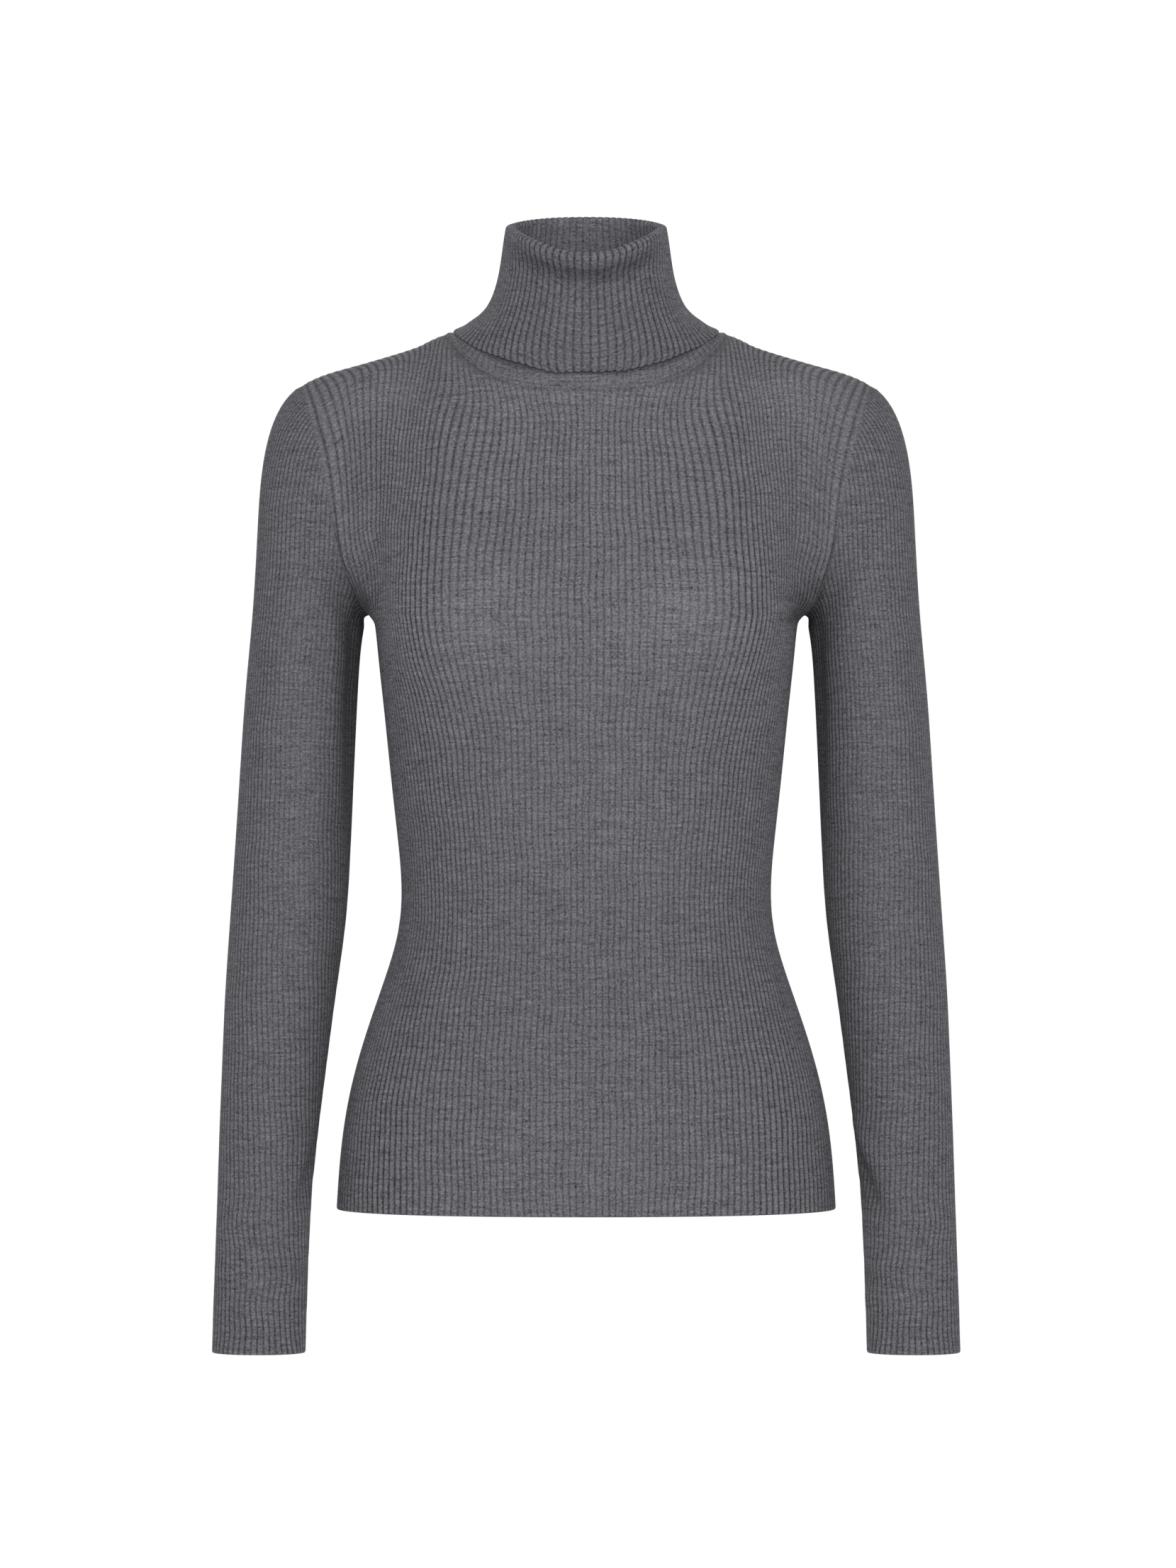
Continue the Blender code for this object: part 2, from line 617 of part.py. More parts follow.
def make_piece(name, points, normals, facing, closed, colour, collection):
    """One piece of cloth: a closed wall round the middle surface."""
    if closed:
        points, normals = points[:, :-1], normals[:, :-1]
    rows, columns = points.shape[:2]
    outer = points + normals * CLOTH / 2
    inner = points - normals * CLOTH / 2
    corners = np.concatenate((outer.reshape(-1, 3), inner.reshape(-1, 3))) * MM
    faces = wall_faces(rows, columns, closed, corners)
    if facing < 0:
        faces = [face[::-1] for face in faces]
    mesh = bpy.data.meshes.new(name)
    mesh.from_pydata(corners.tolist(), [], faces)
    mesh.shade_smooth()
    mesh.set_sharp_from_angle(angle=SHARP)
    mesh.materials.append(wool(name, colour))
    piece = bpy.data.objects.new(name, mesh)
    collection.objects.link(piece)
    return piece


def wool(name, colour):
    """A dull knitted wool."""
    material = bpy.data.materials.new(name + "_wool")
    material.use_nodes = True
    shader = material.node_tree.nodes["Principled BSDF"]
    shader.inputs["Base Color"].default_value = colour
    shader.inputs["Roughness"].default_value = WOOL_ROUGHNESS
    shader.inputs["Metallic"].default_value = 0.0
    return material


# ---------------------------------------------------------------- the sweater

def form():
    """The middle surface of every piece, with the side on which its normals come out (1 or -1)."""
    left = sleeve()
    return {
        "front": (panel(FRONT), 1.0),
        "back": (panel(BACK), -1.0),
        "sleeve_left": (left, 1.0),
        "sleeve_right": (left * (-1.0, 1.0, 1.0), -1.0),
        "collar": (collar(), 1.0),
    }


def main():
    for old in list(bpy.data.objects):
        bpy.data.objects.remove(old, do_unlink=True)
    collection = bpy.data.collections.new("turtleneck_sweater")
    bpy.context.scene.collection.children.link(collection)
    grids = form()
    normals = shared_normals(grids)
    for name, (points, facing) in grids.items():
        closed = name not in ("front", "back")
        columns = (not closed, not closed)
        rows = (closed, not closed)
        points = inset(points, normals[name], rows, columns)
        colour = WOOL_IN_SHADE if name == "collar" else WOOL
        make_piece(name, points, normals[name], facing, closed, colour, collection)


if __name__ == "__main__":
    main()
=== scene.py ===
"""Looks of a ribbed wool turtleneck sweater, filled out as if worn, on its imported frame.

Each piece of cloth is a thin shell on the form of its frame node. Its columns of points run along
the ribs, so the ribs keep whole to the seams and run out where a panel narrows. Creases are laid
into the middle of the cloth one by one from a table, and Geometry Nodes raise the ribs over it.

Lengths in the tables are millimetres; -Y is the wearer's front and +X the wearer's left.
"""

import math

import bpy
import numpy as np
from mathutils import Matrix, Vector
from mathutils.kdtree import KDTree


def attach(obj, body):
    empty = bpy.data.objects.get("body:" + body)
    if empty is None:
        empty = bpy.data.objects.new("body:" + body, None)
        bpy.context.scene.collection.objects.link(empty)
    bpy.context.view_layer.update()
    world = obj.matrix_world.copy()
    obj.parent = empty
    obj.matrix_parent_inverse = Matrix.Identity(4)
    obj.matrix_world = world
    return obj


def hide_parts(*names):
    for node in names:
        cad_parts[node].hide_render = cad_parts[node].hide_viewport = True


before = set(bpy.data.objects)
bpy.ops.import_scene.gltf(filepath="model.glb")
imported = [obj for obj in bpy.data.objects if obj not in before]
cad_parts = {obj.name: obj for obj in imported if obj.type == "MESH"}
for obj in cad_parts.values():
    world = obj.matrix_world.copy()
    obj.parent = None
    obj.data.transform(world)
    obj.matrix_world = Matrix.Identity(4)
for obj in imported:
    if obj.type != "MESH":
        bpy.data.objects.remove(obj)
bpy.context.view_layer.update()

bl_info = {
    "name": "Ribbed Turtleneck Sweater",
    "version": (1, 0, 0),
    "blender": (4, 5, 0),
    "location": "3D View > Sidebar > Sweater",
    "description": "Builds the knitted pieces of a ribbed turtleneck sweater and a plain stage",
    "category": "Mesh",
}

MM = 0.001

# ---- Driving sizes of the form, in millimetres ----
CLOTH = 1.6  # thickness of the ribbed cloth
HEM_HEIGHT = -586.6
UNDERARM_HEIGHT = -190.5
CUFF_HEIGHT = -680.5
CAP_UNDER = -236.0  # where the sleeve's cap has become a plain tube, under the arm
CAP_OVER = -140.0  # and on the arm's outer side
UNDERARM_FLARE = 4.4  # how far the side swings out to meet the sleeve under the arm
FLARE_REACH = 3.0  # the height over which it does most of it
FLARE_DROP = 7.0  # and over which it does all of it
FLARE_FROM = 0.3  # how far round to the side it begins, in half turns
SIDE_SEAM_BACK = 2.0  # how far behind the body's middle the side seam runs
PAST_SEAM = 30.0  # how far the outer layer's path goes on past the neck seam
MIDDLE_STRETCH = 0.06  # how much wider than average the ribs in the middle of a panel lie
LAYER_GAP = 2.1  # between the middles of the collar's two layers, below the fold
PANEL_GAP = 1.9  # between the outer layer's middle and a panel's, where it lies over one
LIFT_REACH = 12.0  # how near the panels' edge the outer layer is lifted to lie over them
EDGE_GAP = 1.15  # between the layers' middles at the free edge
EDGE_SETTLE = 16.0  # over which length the outer layer settles on what is under its edge
EDGE_LAID = 6  # rows of the outer layer that lie down at the edge
SHOULDER_LAID = 4  # how many more do so on the shoulders
SHOULDER_FROM = 95.0  # how far from the middle all of those do
SHOULDER_POWER = 8  # how suddenly they begin

# ---- Sections and edges of the form; turns are in degrees from the front ----
BODY = (
    # height, half_width, front, back, front_squareness, back_squareness
    (-586.6, 165.8, 101, 118, 2.25, 2.3),  # hem, at the hips
    (-546, 162.7, 103, 113, 2.25, 2.3),
    (-508, 156.6, 102.5, 105, 2.25, 2.25),
    (-470, 146.2, 99.5, 95.5, 2.2, 2.2),
    (-432, 133.3, 95, 87.5, 2.2, 2.2),
    (-400, 124.5, 91.5, 84, 2.2, 2.2),
    (-370, 122.5, 90.5, 84, 2.2, 2.2),  # waist
    (-335, 125.3, 93.5, 87.5, 2.25, 2.2),
    (-299, 129.2, 100.5, 93, 2.35, 2.2),
    (-252, 134, 112, 99, 2.5, 2.2),
    (-215, 138, 117.5, 102, 2.55, 2.25),  # bust
    (-190.5, 140.2, 117.5, 103.5, 2.5, 2.3),  # underarm
)
NECK = (
    # turn, x, y, z, up_x, up_y, up_z
    (0, 0, -76, -40, 0, 0.22, 0.98),
    (30, 47, -69, -36, -0.12, 0.25, 0.96),
    (55, 74.5, -48, -22.5, -0.52, 0.34, 0.78),
    (75, 87, -21, -9.5, -0.85, 0.24, 0.47),
    (95, 91.5, 10, -1.5, -0.94, -0.06, 0.33),
    (125, 76, 36, 2, -0.76, -0.34, 0.56),
    (150, 45, 49, 6.5, -0.34, -0.4, 0.85),
    (180, 0, 53, 8, 0, -0.38, 0.92),
)
NECK_SHARE = 0.48  # share of a panel's half width that ends at the neck
NECK_ENDS = {
    "front": (
        # share, turn
        (0, 0),
        (0.1, 13.5),
        (0.2, 27),
        (0.3, 43),
        (0.36, 56),
        (0.42, 73),
        (0.48, 95),
    ),
    "back": (
        (0, 180),
        (0.1, 166.5),
        (0.2, 153),
        (0.3, 138),
        (0.4, 117),
        (0.48, 95),
    ),
}
SHOULDER_ENDS = (
    # share, out
    (0.48, 0),
    (0.64, 0.39),
    (0.8, 0.75),
    (0.9, 0.89),
    (1, 1),
)
SHOULDER = (
    # out, x, y, z
    (0, 91.5, 10, -1.5),
    (0.2, 110, 12, -9.3),
    (0.6, 150, 13, -22),
    (1, 190, 11, -35),
)
ARMHOLE = (
    # round, x, y, z, out_x, out_y, out_z
    (0, 145.6, 2, -190.5, 1, 0, 0),
    (0.1, 150.5, -24, -181.5, 0.86, 0.5, 0),
    (0.22, 158.5, -39.5, -165, 0.88, 0.46, 0),
    (0.38, 166.3, -46, -138, 0.94, 0.33, -0.05),
    (0.6, 173.3, -43, -98, 0.97, 0.15, -0.12),
    (0.8, 182.6, -26.5, -60, 0.94, 0.03, -0.34),
    (0.92, 188.2, -6, -41, 0.88, 0, -0.47),
    (1, 190, 11, -35, 0.86, 0, -0.5),
    (1.08, 189.6, 26.5, -41, 0.88, -0.02, -0.47),
    (1.2, 185.6, 41.5, -60, 0.93, -0.12, -0.34),
    (1.4, 178.5, 52, -98, 0.95, -0.24, -0.12),
    (1.62, 171.5, 51, -138, 0.92, -0.38, -0.05),
    (1.78, 162, 43, -165, 0.88, -0.46, 0),
    (1.9, 152, 26, -181.5, 0.86, -0.5, 0),
    (2, 145.6, 2, -190.5, 1, 0, 0),
)
ARMHOLE_LEAD = 0.35  # how far a panel's rows run ahead at the armhole, to lie level across it
COLUMN_PULL = {
    "front": (
        # share, bottom, top
        (0, 165, 100),
        (0.25, 180, 110),
        (0.48, 235, 115),
        (0.6, 255, 130),
        (0.75, 275, 140),
    ),
    "back": (
        (0, 255, 110),
        (0.25, 260, 110),
        (0.48, 270, 100),
        (0.75, 280, 105),
    ),
}
OVER_SHOULDER = (0.05, 0.97, -0.20)  # the way a column crosses the shoulder line
TURN_OVER = (0.45, 1.55)  # where, in shares of the neck's, columns turn from up to that
ARM_SHARE = 0.70  # from here out, a panel bends round to meet the armhole
ARM_BEND = 1.15  # how long its tangents there are, over the straight way
UNDERARM_POWER = 3  # how soon it leaves the section under the arm
CORNER_WIDTH = 0.09  # share of a panel over which its corner at the neck is rounded
CORNER_TIP = 0.10  # and over which that ends at the shoulder point
CORNER_POWER = 9  # how near the top edge its rows turn to the corner's true shape
SLEEVE = (
    # height, middle_x, middle_y, half_width, half_depth
    (-680.5, 218, -31, 29.9, 26.5),  # cuff
    (-632, 216.7, -26, 30, 28.5),
    (-584, 214.9, -21, 30.3, 31),
    (-537, 212.2, -15, 31.7, 33.5),
    (-489, 208.5, -9, 33.8, 36.5),
    (-442, 204.6, -3, 35.9, 39.5),
    (-394, 200, 3, 37.6, 42),
    (-347, 196.9, 6, 37.6, 44),  # elbow
    (-299, 194.2, 5, 37.1, 45),
    (-236, 190.4, 3, 36.4, 46),
    (-190, 187, 2, 35.6, 46),
    (-138, 184, 2, 35.4, 45),
)
SLEEVE_SQUARENESS = 2.1
CAP = {
    "over": {"out": 95, "down": 0, "arrive": 110},
    "side": {"out": 26, "down": 45, "arrive": 100},
    "under": {"out": 13, "down": 7, "arrive": 60},
}
UNDER_FROM = 0.75  # how far round from the top the part under the arm begins
COLLAR_TOP = (
    # turn, x, y, height, roll (the fold's half width), closing (how far below it has closed up)
    (0, 0, -67, 43, 4.8, 13),
    (20, 16.6, -64, 45.7, 4.6, 13),
    (40, 31.4, -55.7, 53.2, 3.8, 16),
    (60, 42.6, -42.3, 61, 2.5, 26),
    (80, 48.4, -25.8, 66.8, 1.8, 34),
    (95, 49, -12.6, 68.9, 1.7, 36),
    (120, 42, 8.3, 72.5, 2, 36),
    (150, 23.7, 26.7, 76, 2.4, 36),
    (180, 0, 33.5, 77.2, 2.5, 36),
)
COLLAR_LEAN = 0.19  # how far the inner layer leans in where it meets the fold
SEAM_PULL = 1.25  # how stiffly it leaves the seam
TOP_PULL = 1.7  # and arrives at the fold
OUTER_LENGTH = (
    # turn, length
    (0, 74),
    (45, 79),
    (75, 85),
    (95, 88.5),
    (135, 88),
    (180, 84),
)

# ---- Ribs ----
NECK_RIBS = 22.5  # from a panel's middle to the neck's side
HALF_RIBS = NECK_RIBS / NECK_SHARE  # and to its side seam
ARMHOLE_RIBS = 43.0  # from the middle to the armhole, above its lower curve
LOWER_CURVE = 0.38  # how far up the armhole ribs run out into it
RIB_SPREAD = (
    # height at the centre line, how much wider the ribs lie in the middle than at the sides
    (-586.6, -0.13),
    (-546, -0.11),
    (-418, 0.01),
    (-370, 0.05),
    (-252, -0.045),
    (-190.5, -0.03),
)
YOKE_SPREAD = (
    # share of the way up the yoke, the same
    (0, -0.03),
    (0.3, -0.085),
    (0.6, -0.14),
    (0.82, -0.14),
    (1, 0),
)
CLOSING_LIMITS = (0.6, 1.4)  # of a rib's width where it starts to close up, over the average
PUSH_MIDDLE = 0.5  # how far round a panel its ribs are pushed most towards the armhole
PUSH_REACH = 0.2  # and how far to either side
PUSH = {
    "front": (
        # height at the centre line, how far the ribs are pushed, of the panel's half width
        (-586.6, 0),
        (-300, 0),
        (-262, 0.012),
        (-225, 0.045),
        (-195, 0.072),
        (-165, 0.068),
        (-130, 0.042),
        (-95, 0.016),
        (-60, 0.002),
        (-40, 0),
    ),
    "back": (
        (-586.6, 0),
        (-300, 0),
        (-225, 0.015),
        (-180, 0.025),
        (-110, 0.015),
        (-40, 0),
        (10, 0),
    ),
}
SLEEVE_PITCH = (
    # height, width of a rib
    (-680.5, 3.95),
    (-440, 3.6),
    (-190.5, 3.28),
    (-35, 3.28),
)
COLLAR_RIBS = 84  # all round
COLLAR_SAMPLES = 6  # points to each of them
RIB_PLACES = (0.0, 0.32, 0.5, 0.68)  # of the points across a rib, crowded towards the valley
FOLD_SPREAD = -0.25  # how much narrower than even the front's ribs lie at the collar's fold
EDGE_SPREAD = 0.24  # and at its seam and its free edge
SPREAD_POWER = 1.3  # how late the one turns into the other
EDGE_SCALLOP = 0.45  # how far each rib stands out of the collar's free edge
SCALLOP_REACH = 4.0  # over which length above the edge that fades
WAVES_REACH = 24.0  # and over which length its waves do
EDGE_WAVES = (
    # waves round the edge, size, start
    (7, 0.7, 0.4),
    (11, 0.5, 2.1),
    (17, 0.35, 4),
    (29, 0.25, 1),
)

# ---- How finely each piece is divided ----
LOWER_ROWS = 88
FLARE_ROWS = 3
YOKE_ROWS = 46
CAP_ROWS = 40
TUBE_FROM = -240.0  # the level ring under the sleeve's cap
TUBE_ROWS = 100
INNER_ROWS = 28
FOLD_ROWS = 12
OUTER_ROWS = 32
FINE = 241  # points on an outline before it is divided
NEAR = 0.01  # a small step or length
EASING_SAMPLES = 11  # places that a panel's top edge is averaged over at its corner
PANEL_SAMPLES = 81  # places each way on a yoke, to find how near the collar comes to it
PANEL_FROM = 0.5  # how far up the yoke those begin
SLICE = 2.0  # height between the level slices through a sleeve's cap
EDGE_ROWS = (0.0, 0.5, 1.4)  # distances from an open edge of the rows that round it off

FRONT, BACK = "front", "back"
FACING = {FRONT: -1.0, BACK: 1.0}


# ---- Curves ----

def spline(rows, mirrored=False):
    """The smooth curve through a table's rows, as a function of its first column.

    A mirrored curve continues past both ends as its own reflection, so it is level there in
    every column but x, the first, which changes sign.
    """
    table = np.array(rows, float)
    knots, values = table[:, 0], table[:, 1:]
    if mirrored:
        sign = np.ones(values.shape[1])
        sign[0] = -1.0
        if len(rows[0]) == len(NECK[0]):
            sign[3] = -1.0
        knots = np.concatenate((2 * knots[0] - knots[:0:-1], knots, 2 * knots[-1] - knots[-2::-1]))
        values = np.concatenate((values[:0:-1] * sign, values, values[-2::-1] * sign))
    count = len(knots)
    step = np.diff(knots)
    slope = np.diff(values, axis=0) / step[:, None]
    system = np.eye(count)
    right = np.zeros_like(values)
    for i in range(1, count - 1):
        system[i, i - 1:i + 2] = step[i - 1], 2 * (step[i - 1] + step[i]), step[i]
        right[i] = 6 * (slope[i] - slope[i - 1])
    bend = np.linalg.solve(system, right)

    def at(where):
        where = np.asarray(where, float)
        i = np.clip(np.searchsorted(knots, where, side="right") - 1, 0, count - 2)
        width = step[i][..., None]
        low = (knots[i + 1] - where)[..., None] / width
        high = (where - knots[i])[..., None] / width
        return (low * values[i] + high * values[i + 1]
                + ((low ** 3 - low) * bend[i] + (high ** 3 - high) * bend[i + 1]) * width ** 2 / 6)

    return at


def hermite(start, end, leave, arrive, share):
    """The cubic from start to end with the given tangents, at a share of the way."""
    s = share
    return (start * (2 * s ** 3 - 3 * s ** 2 + 1) + end * (3 * s ** 2 - 2 * s ** 3)
            + leave * (s ** 3 - 2 * s ** 2 + s) + arrive * (s ** 3 - s ** 2))


def smooth_step(value, low, high):
    """0 below low, 1 above high, and an easy curve between."""
    share = np.clip((value - low) / (high - low), 0.0, 1.0)
    return share * share * (3 - 2 * share)


def bell(value, width, place=0.0):
    """1 at a place, and less the further from it in widths."""
    return np.exp(-((value - place) / width) ** 2)


def unit(vectors):
    """Vectors of length one in the same directions."""
    return vectors / np.linalg.norm(vectors, axis=-1, keepdims=True)


def lengths_along(points):
    """How far along a line each of its points lies."""
    return np.append(0.0, np.cumsum(np.linalg.norm(np.diff(points, axis=0), axis=1)))


def at_lengths(points, lengths, wanted):
    """The points of a line at the wanted distances along it."""
    return np.stack([np.interp(wanted, lengths, points[:, axis]) for axis in range(3)], axis=-1)


def directions_along(points, axis):
    """Unit directions from each place of a grid to the next, also where places coincide."""
    steps = np.gradient(points, axis=axis)
    return steps / np.maximum(np.linalg.norm(steps, axis=2, keepdims=True), NEAR)


def superellipse(turn, ahead, beside, square):
    """How far a section reaches from its middle at a turn, from its two half axes."""
    return ((np.abs(np.cos(turn)) / ahead) ** square
            + (np.abs(np.sin(turn)) / beside) ** square) ** (-1 / square)


BODY_AT, SLEEVE_AT, ARMHOLE_AT = spline(BODY), spline(SLEEVE), spline(ARMHOLE)
SHOULDER_AT, SHOULDER_ENDS_AT = spline(SHOULDER), spline(SHOULDER_ENDS)
NECK_AT, COLLAR_TOP_AT = spline(NECK, mirrored=True), spline(COLLAR_TOP, mirrored=True)
OUTER_LENGTH_AT, SLEEVE_PITCH_AT = spline(OUTER_LENGTH), spline(SLEEVE_PITCH)
RIB_SPREAD_AT, YOKE_SPREAD_AT = spline(RIB_SPREAD), spline(YOKE_SPREAD)
NECK_ENDS_AT, COLUMN_PULL_AT, PUSH_AT = (
    {side: spline(rows) for side, rows in table.items()}
    for table in (NECK_ENDS, COLUMN_PULL, PUSH))


# ---- The form of the body ----

def body_ring(side, height, shares, flare=UNDERARM_FLARE):
    """A panel's half section at a height, from the centre line (share 0) to the side (1)."""
    half_width, front, back, front_square, back_square = BODY_AT(height)
    depth, square = (front, front_square) if side == FRONT else (back, back_square)
    turn = np.linspace(0.0, math.pi / 2, FINE)
    reach = superellipse(turn, depth, half_width, square)
    near_side = smooth_step(turn, FLARE_FROM * math.pi, math.pi / 2)
    swing = flare * math.exp((height - UNDERARM_HEIGHT) / FLARE_REACH) * near_side
    outline = np.stack((reach * np.sin(turn) + swing,
                        FACING[side] * reach * np.cos(turn) + SIDE_SEAM_BACK * near_side,
                        np.full(FINE, height)), axis=-1)
    lengths = lengths_along(outline)
    wanted = (shares + MIDDLE_STRETCH * shares * (1 - shares ** 2)) * lengths[-1]
    return at_lengths(outline, lengths, wanted)


def neck_turn(side, shares):
    """The turn round the neck at which a column ends."""
    return NECK_ENDS_AT[side](np.minimum(shares, NECK_SHARE))[..., 0]


def top_edge(side, shares):
    """Where a panel's columns end: at the neck seam, and further out at the shoulder seam."""
    neck = NECK_AT(neck_turn(side, shares))[..., :3]
    shoulder = SHOULDER_AT(SHOULDER_ENDS_AT(np.maximum(shares, NECK_SHARE))[..., 0])
    return np.where((shares < NECK_SHARE)[..., None], neck, shoulder)


def top_tangent(side, shares):
    """The direction of a column where it ends."""
    over = np.array(OVER_SHOULDER) * -FACING[side]
    up = NECK_AT(neck_turn(side, shares))[..., 3:]
    turning = smooth_step(shares / NECK_SHARE, *TURN_OVER)[..., None]
    return unit(up * (1 - turning) + over * turning)


def eased(curve, side, shares):
    """A curve along a panel's top edge, with its corner at the neck's side rounded off."""
    offsets = np.linspace(-1.0, 1.0, EASING_SAMPLES + 2)[1:-1]
    weights = 1 - offsets ** 2
    reach = (CORNER_WIDTH * smooth_step(shares, 0.0, 2 * CORNER_WIDTH)
             * smooth_step(1 - shares, 0.0, CORNER_TIP))
    return sum(weight * curve(side, shares + offset * reach)
               for offset, weight in zip(offsets, weights / weights.sum()))


def yoke_columns(side, shares, alongs):
    """The part of the yoke inside the armhole's bend, whose columns run up over the shoulder."""
    base = body_ring(side, UNDERARM_HEIGHT, shares)
    rise = (body_ring(side, UNDERARM_HEIGHT, shares, flare=0.0)
            - body_ring(side, UNDERARM_HEIGHT - NEAR, shares, flare=0.0)) / NEAR
    pull = COLUMN_PULL_AT[side](shares)
    along = alongs[:, None, None]
    ends = eased(top_edge, side, shares)
    arrive = eased(top_tangent, side, shares) * pull[:, 1:]
    points = hermite(base, ends, rise * pull[:, :1], arrive, along)
    return points + (top_edge(side, shares) - ends) * along ** CORNER_POWER


def lead(alongs):
    """How far up the armhole a row has come, at a share of the way up the panel."""
    return alongs * (1 + ARMHOLE_LEAD * (1 - alongs))


def armhole(side, alongs):
    """The armhole's edge on one panel, from the underarm (0) to the shoulder (1)."""
    return ARMHOLE_AT(lead(alongs) if side == FRONT else 2 - lead(alongs))


def yoke(side, shares, alongs):
    """A panel's half above the underarm, as points[along, share]."""
    inner = shares[shares < ARM_SHARE]
    columns = yoke_columns(side, np.append(inner, (ARM_SHARE - NEAR, ARM_SHARE)), alongs)
    edge = armhole(side, alongs)[:, None]
    start, leave = columns[:, -1:], unit(columns[:, -1:] - columns[:, -2:-1])
    seam, arrive = edge[..., :3], unit(edge[..., 3:])
    reach = np.linalg.norm(seam - start, axis=-1, keepdims=True) * ARM_BEND
    outer = (shares[shares >= ARM_SHARE] - ARM_SHARE) / (1 - ARM_SHARE)
    bend = hermite(start, seam, leave * reach, arrive * reach, outer[None, :, None])
    ring = body_ring(side, UNDERARM_HEIGHT, shares[shares >= ARM_SHARE])
    bend += (ring - bend[0]) * ((1 - alongs) ** UNDERARM_POWER)[:, None, None]
    return np.concatenate((columns[:, :len(inner)], bend), axis=1)


# ---- The form of the sleeves ----

def sleeve_ring(heights, turns):
    """The sleeve's section; turn 0 is away from the body, and a quarter turn on is the front."""
    middle_x, middle_y, half_width, half_depth = SLEEVE_AT(heights).T
    reach = superellipse(turns, half_width, half_depth, SLEEVE_SQUARENESS)
    return np.stack((middle_x + reach * np.cos(turns), middle_y - reach * np.sin(turns),
                     heights), axis=-1)


def sleeve_cap(side, count):
    """One half of the left sleeve's cap, as (points[row, column], turns, where the tube begins).

    Columns go from the shoulder point down to the underarm, and rows from the armhole out.
    """
    alongs = np.linspace(1.0, 0.0, count)
    edge = armhole(side, alongs)
    seam, out = edge[:, :3], edge[:, 3:]
    turns = math.pi * ((1 - lead(alongs)) if side == FRONT else (1 + lead(alongs)))
    away = 0.5 * (1 + np.cos(turns))[:, None]
    under = smooth_step(1.0 - np.abs(turns / math.pi - 1.0), UNDER_FROM, 1.0)[:, None]

    def round_arm(which):
        over, beside, beneath = (CAP[place][which] for place in ("over", "side", "under"))
        return (over * away + beside * (1 - away)) * (1 - under) + beneath * under

    upright = unit(np.cross(np.gradient(seam, axis=0), out))
    down = np.array((0.0, 0.0, -1.0)) + upright * upright[:, 2:]
    leave = unit(out) * round_arm("out") + down * round_arm("down")
    starts = CAP_UNDER + (CAP_OVER - CAP_UNDER) * away[:, 0]
    base = sleeve_ring(starts, turns)
    fall = sleeve_ring(starts - 1.0, turns) - base
    rows = np.linspace(0.0, 1.0, CAP_ROWS + 1)[:, None, None]
    return hermite(seam, base, leave, fall * round_arm("arrive"), rows), turns, starts


# ---- The form of the collar ----

def collar_top(turns):
    """The collar's highest line at the middle of its inner layer, and the rest of its table."""
    values = COLLAR_TOP_AT(np.degrees(np.abs(turns)))
    return values[:, :3] * mirrored_x(turns), values[:, 3:]


def mirrored_x(turns):
    """The factors that carry the left half's points over to the turns' own side."""
    return np.where(turns < 0, -1.0, 1.0)[:, None] * (1.0, 0.0, 0.0) + (0.0, 1.0, 1.0)


def collar_form(turns):
    """The middle of the collar's cloth at the given turns, as points[row, column]."""
    neck = NECK_AT(np.degrees(np.abs(turns)))
    seam, up = neck[:, :3] * mirrored_x(turns), unit(neck[:, 3:]) * mirrored_x(turns)
    top, rest = collar_top(turns)
    along = np.gradient(top, axis=0) * (1.0, 1.0, 0.0)
    outward = unit(np.cross(along, (0.0, 0.0, 1.0)))
    reach = np.linalg.norm(top - seam, axis=1, keepdims=True)
    rise = np.linspace(0.0, 1.0, INNER_ROWS + 1)[:, None, None]
    arrive = unit(np.array((0.0, 0.0, 1.0)) - outward * COLLAR_LEAN)
    inner = hermite(seam, top, up * reach * SEAM_PULL, arrive * reach * TOP_PULL, rise)
    bends = np.linspace(0.0, math.pi, FOLD_ROWS + 1)[1:-1, None, None]
    roll = rest[:, :1]
    fold = (top + outward * roll * (1 - np.cos(bends))
            + np.array((0.0, 0.0, 1.0)) * roll * np.sin(bends))
    outer = np.stack([outer_column(inner[:, i], outward[i], turns[i], *rest[i])
                      for i in range(len(turns))], axis=1)
    return np.concatenate((inner, fold, laid_over_panels(outer)))


def outer_column(inner, outward, turn, roll, closing):
    """The outer layer's points down one column: the inner layer's path, a layer further out."""
    past = inner[0] + unit(inner[0] - inner[1]) * PAST_SEAM
    path = np.concatenate((inner[::-1], past[None]))
    length = OUTER_LENGTH_AT(abs(math.degrees(turn)))[0]
    down = edge_spaced(length, 0.0, OUTER_ROWS)[::-1]
    points = at_lengths(path, lengths_along(path), down)
    direction = unit(np.gradient(points, axis=0))
    sideways = np.cross((0.0, 0.0, 1.0), outward)
    away = unit(np.cross(direction, sideways))
    away *= np.sign((away * outward).sum(axis=1, keepdims=True))
    gap = LAYER_GAP + (2 * roll - LAYER_GAP) * (1 - smooth_step(down, 0.0, closing))
    settled = (LAYER_GAP - EDGE_GAP) * math.sin(turn) ** 2
    gap -= settled * smooth_step(down, length - EDGE_SETTLE, length)
    return points + away * gap[:, None]


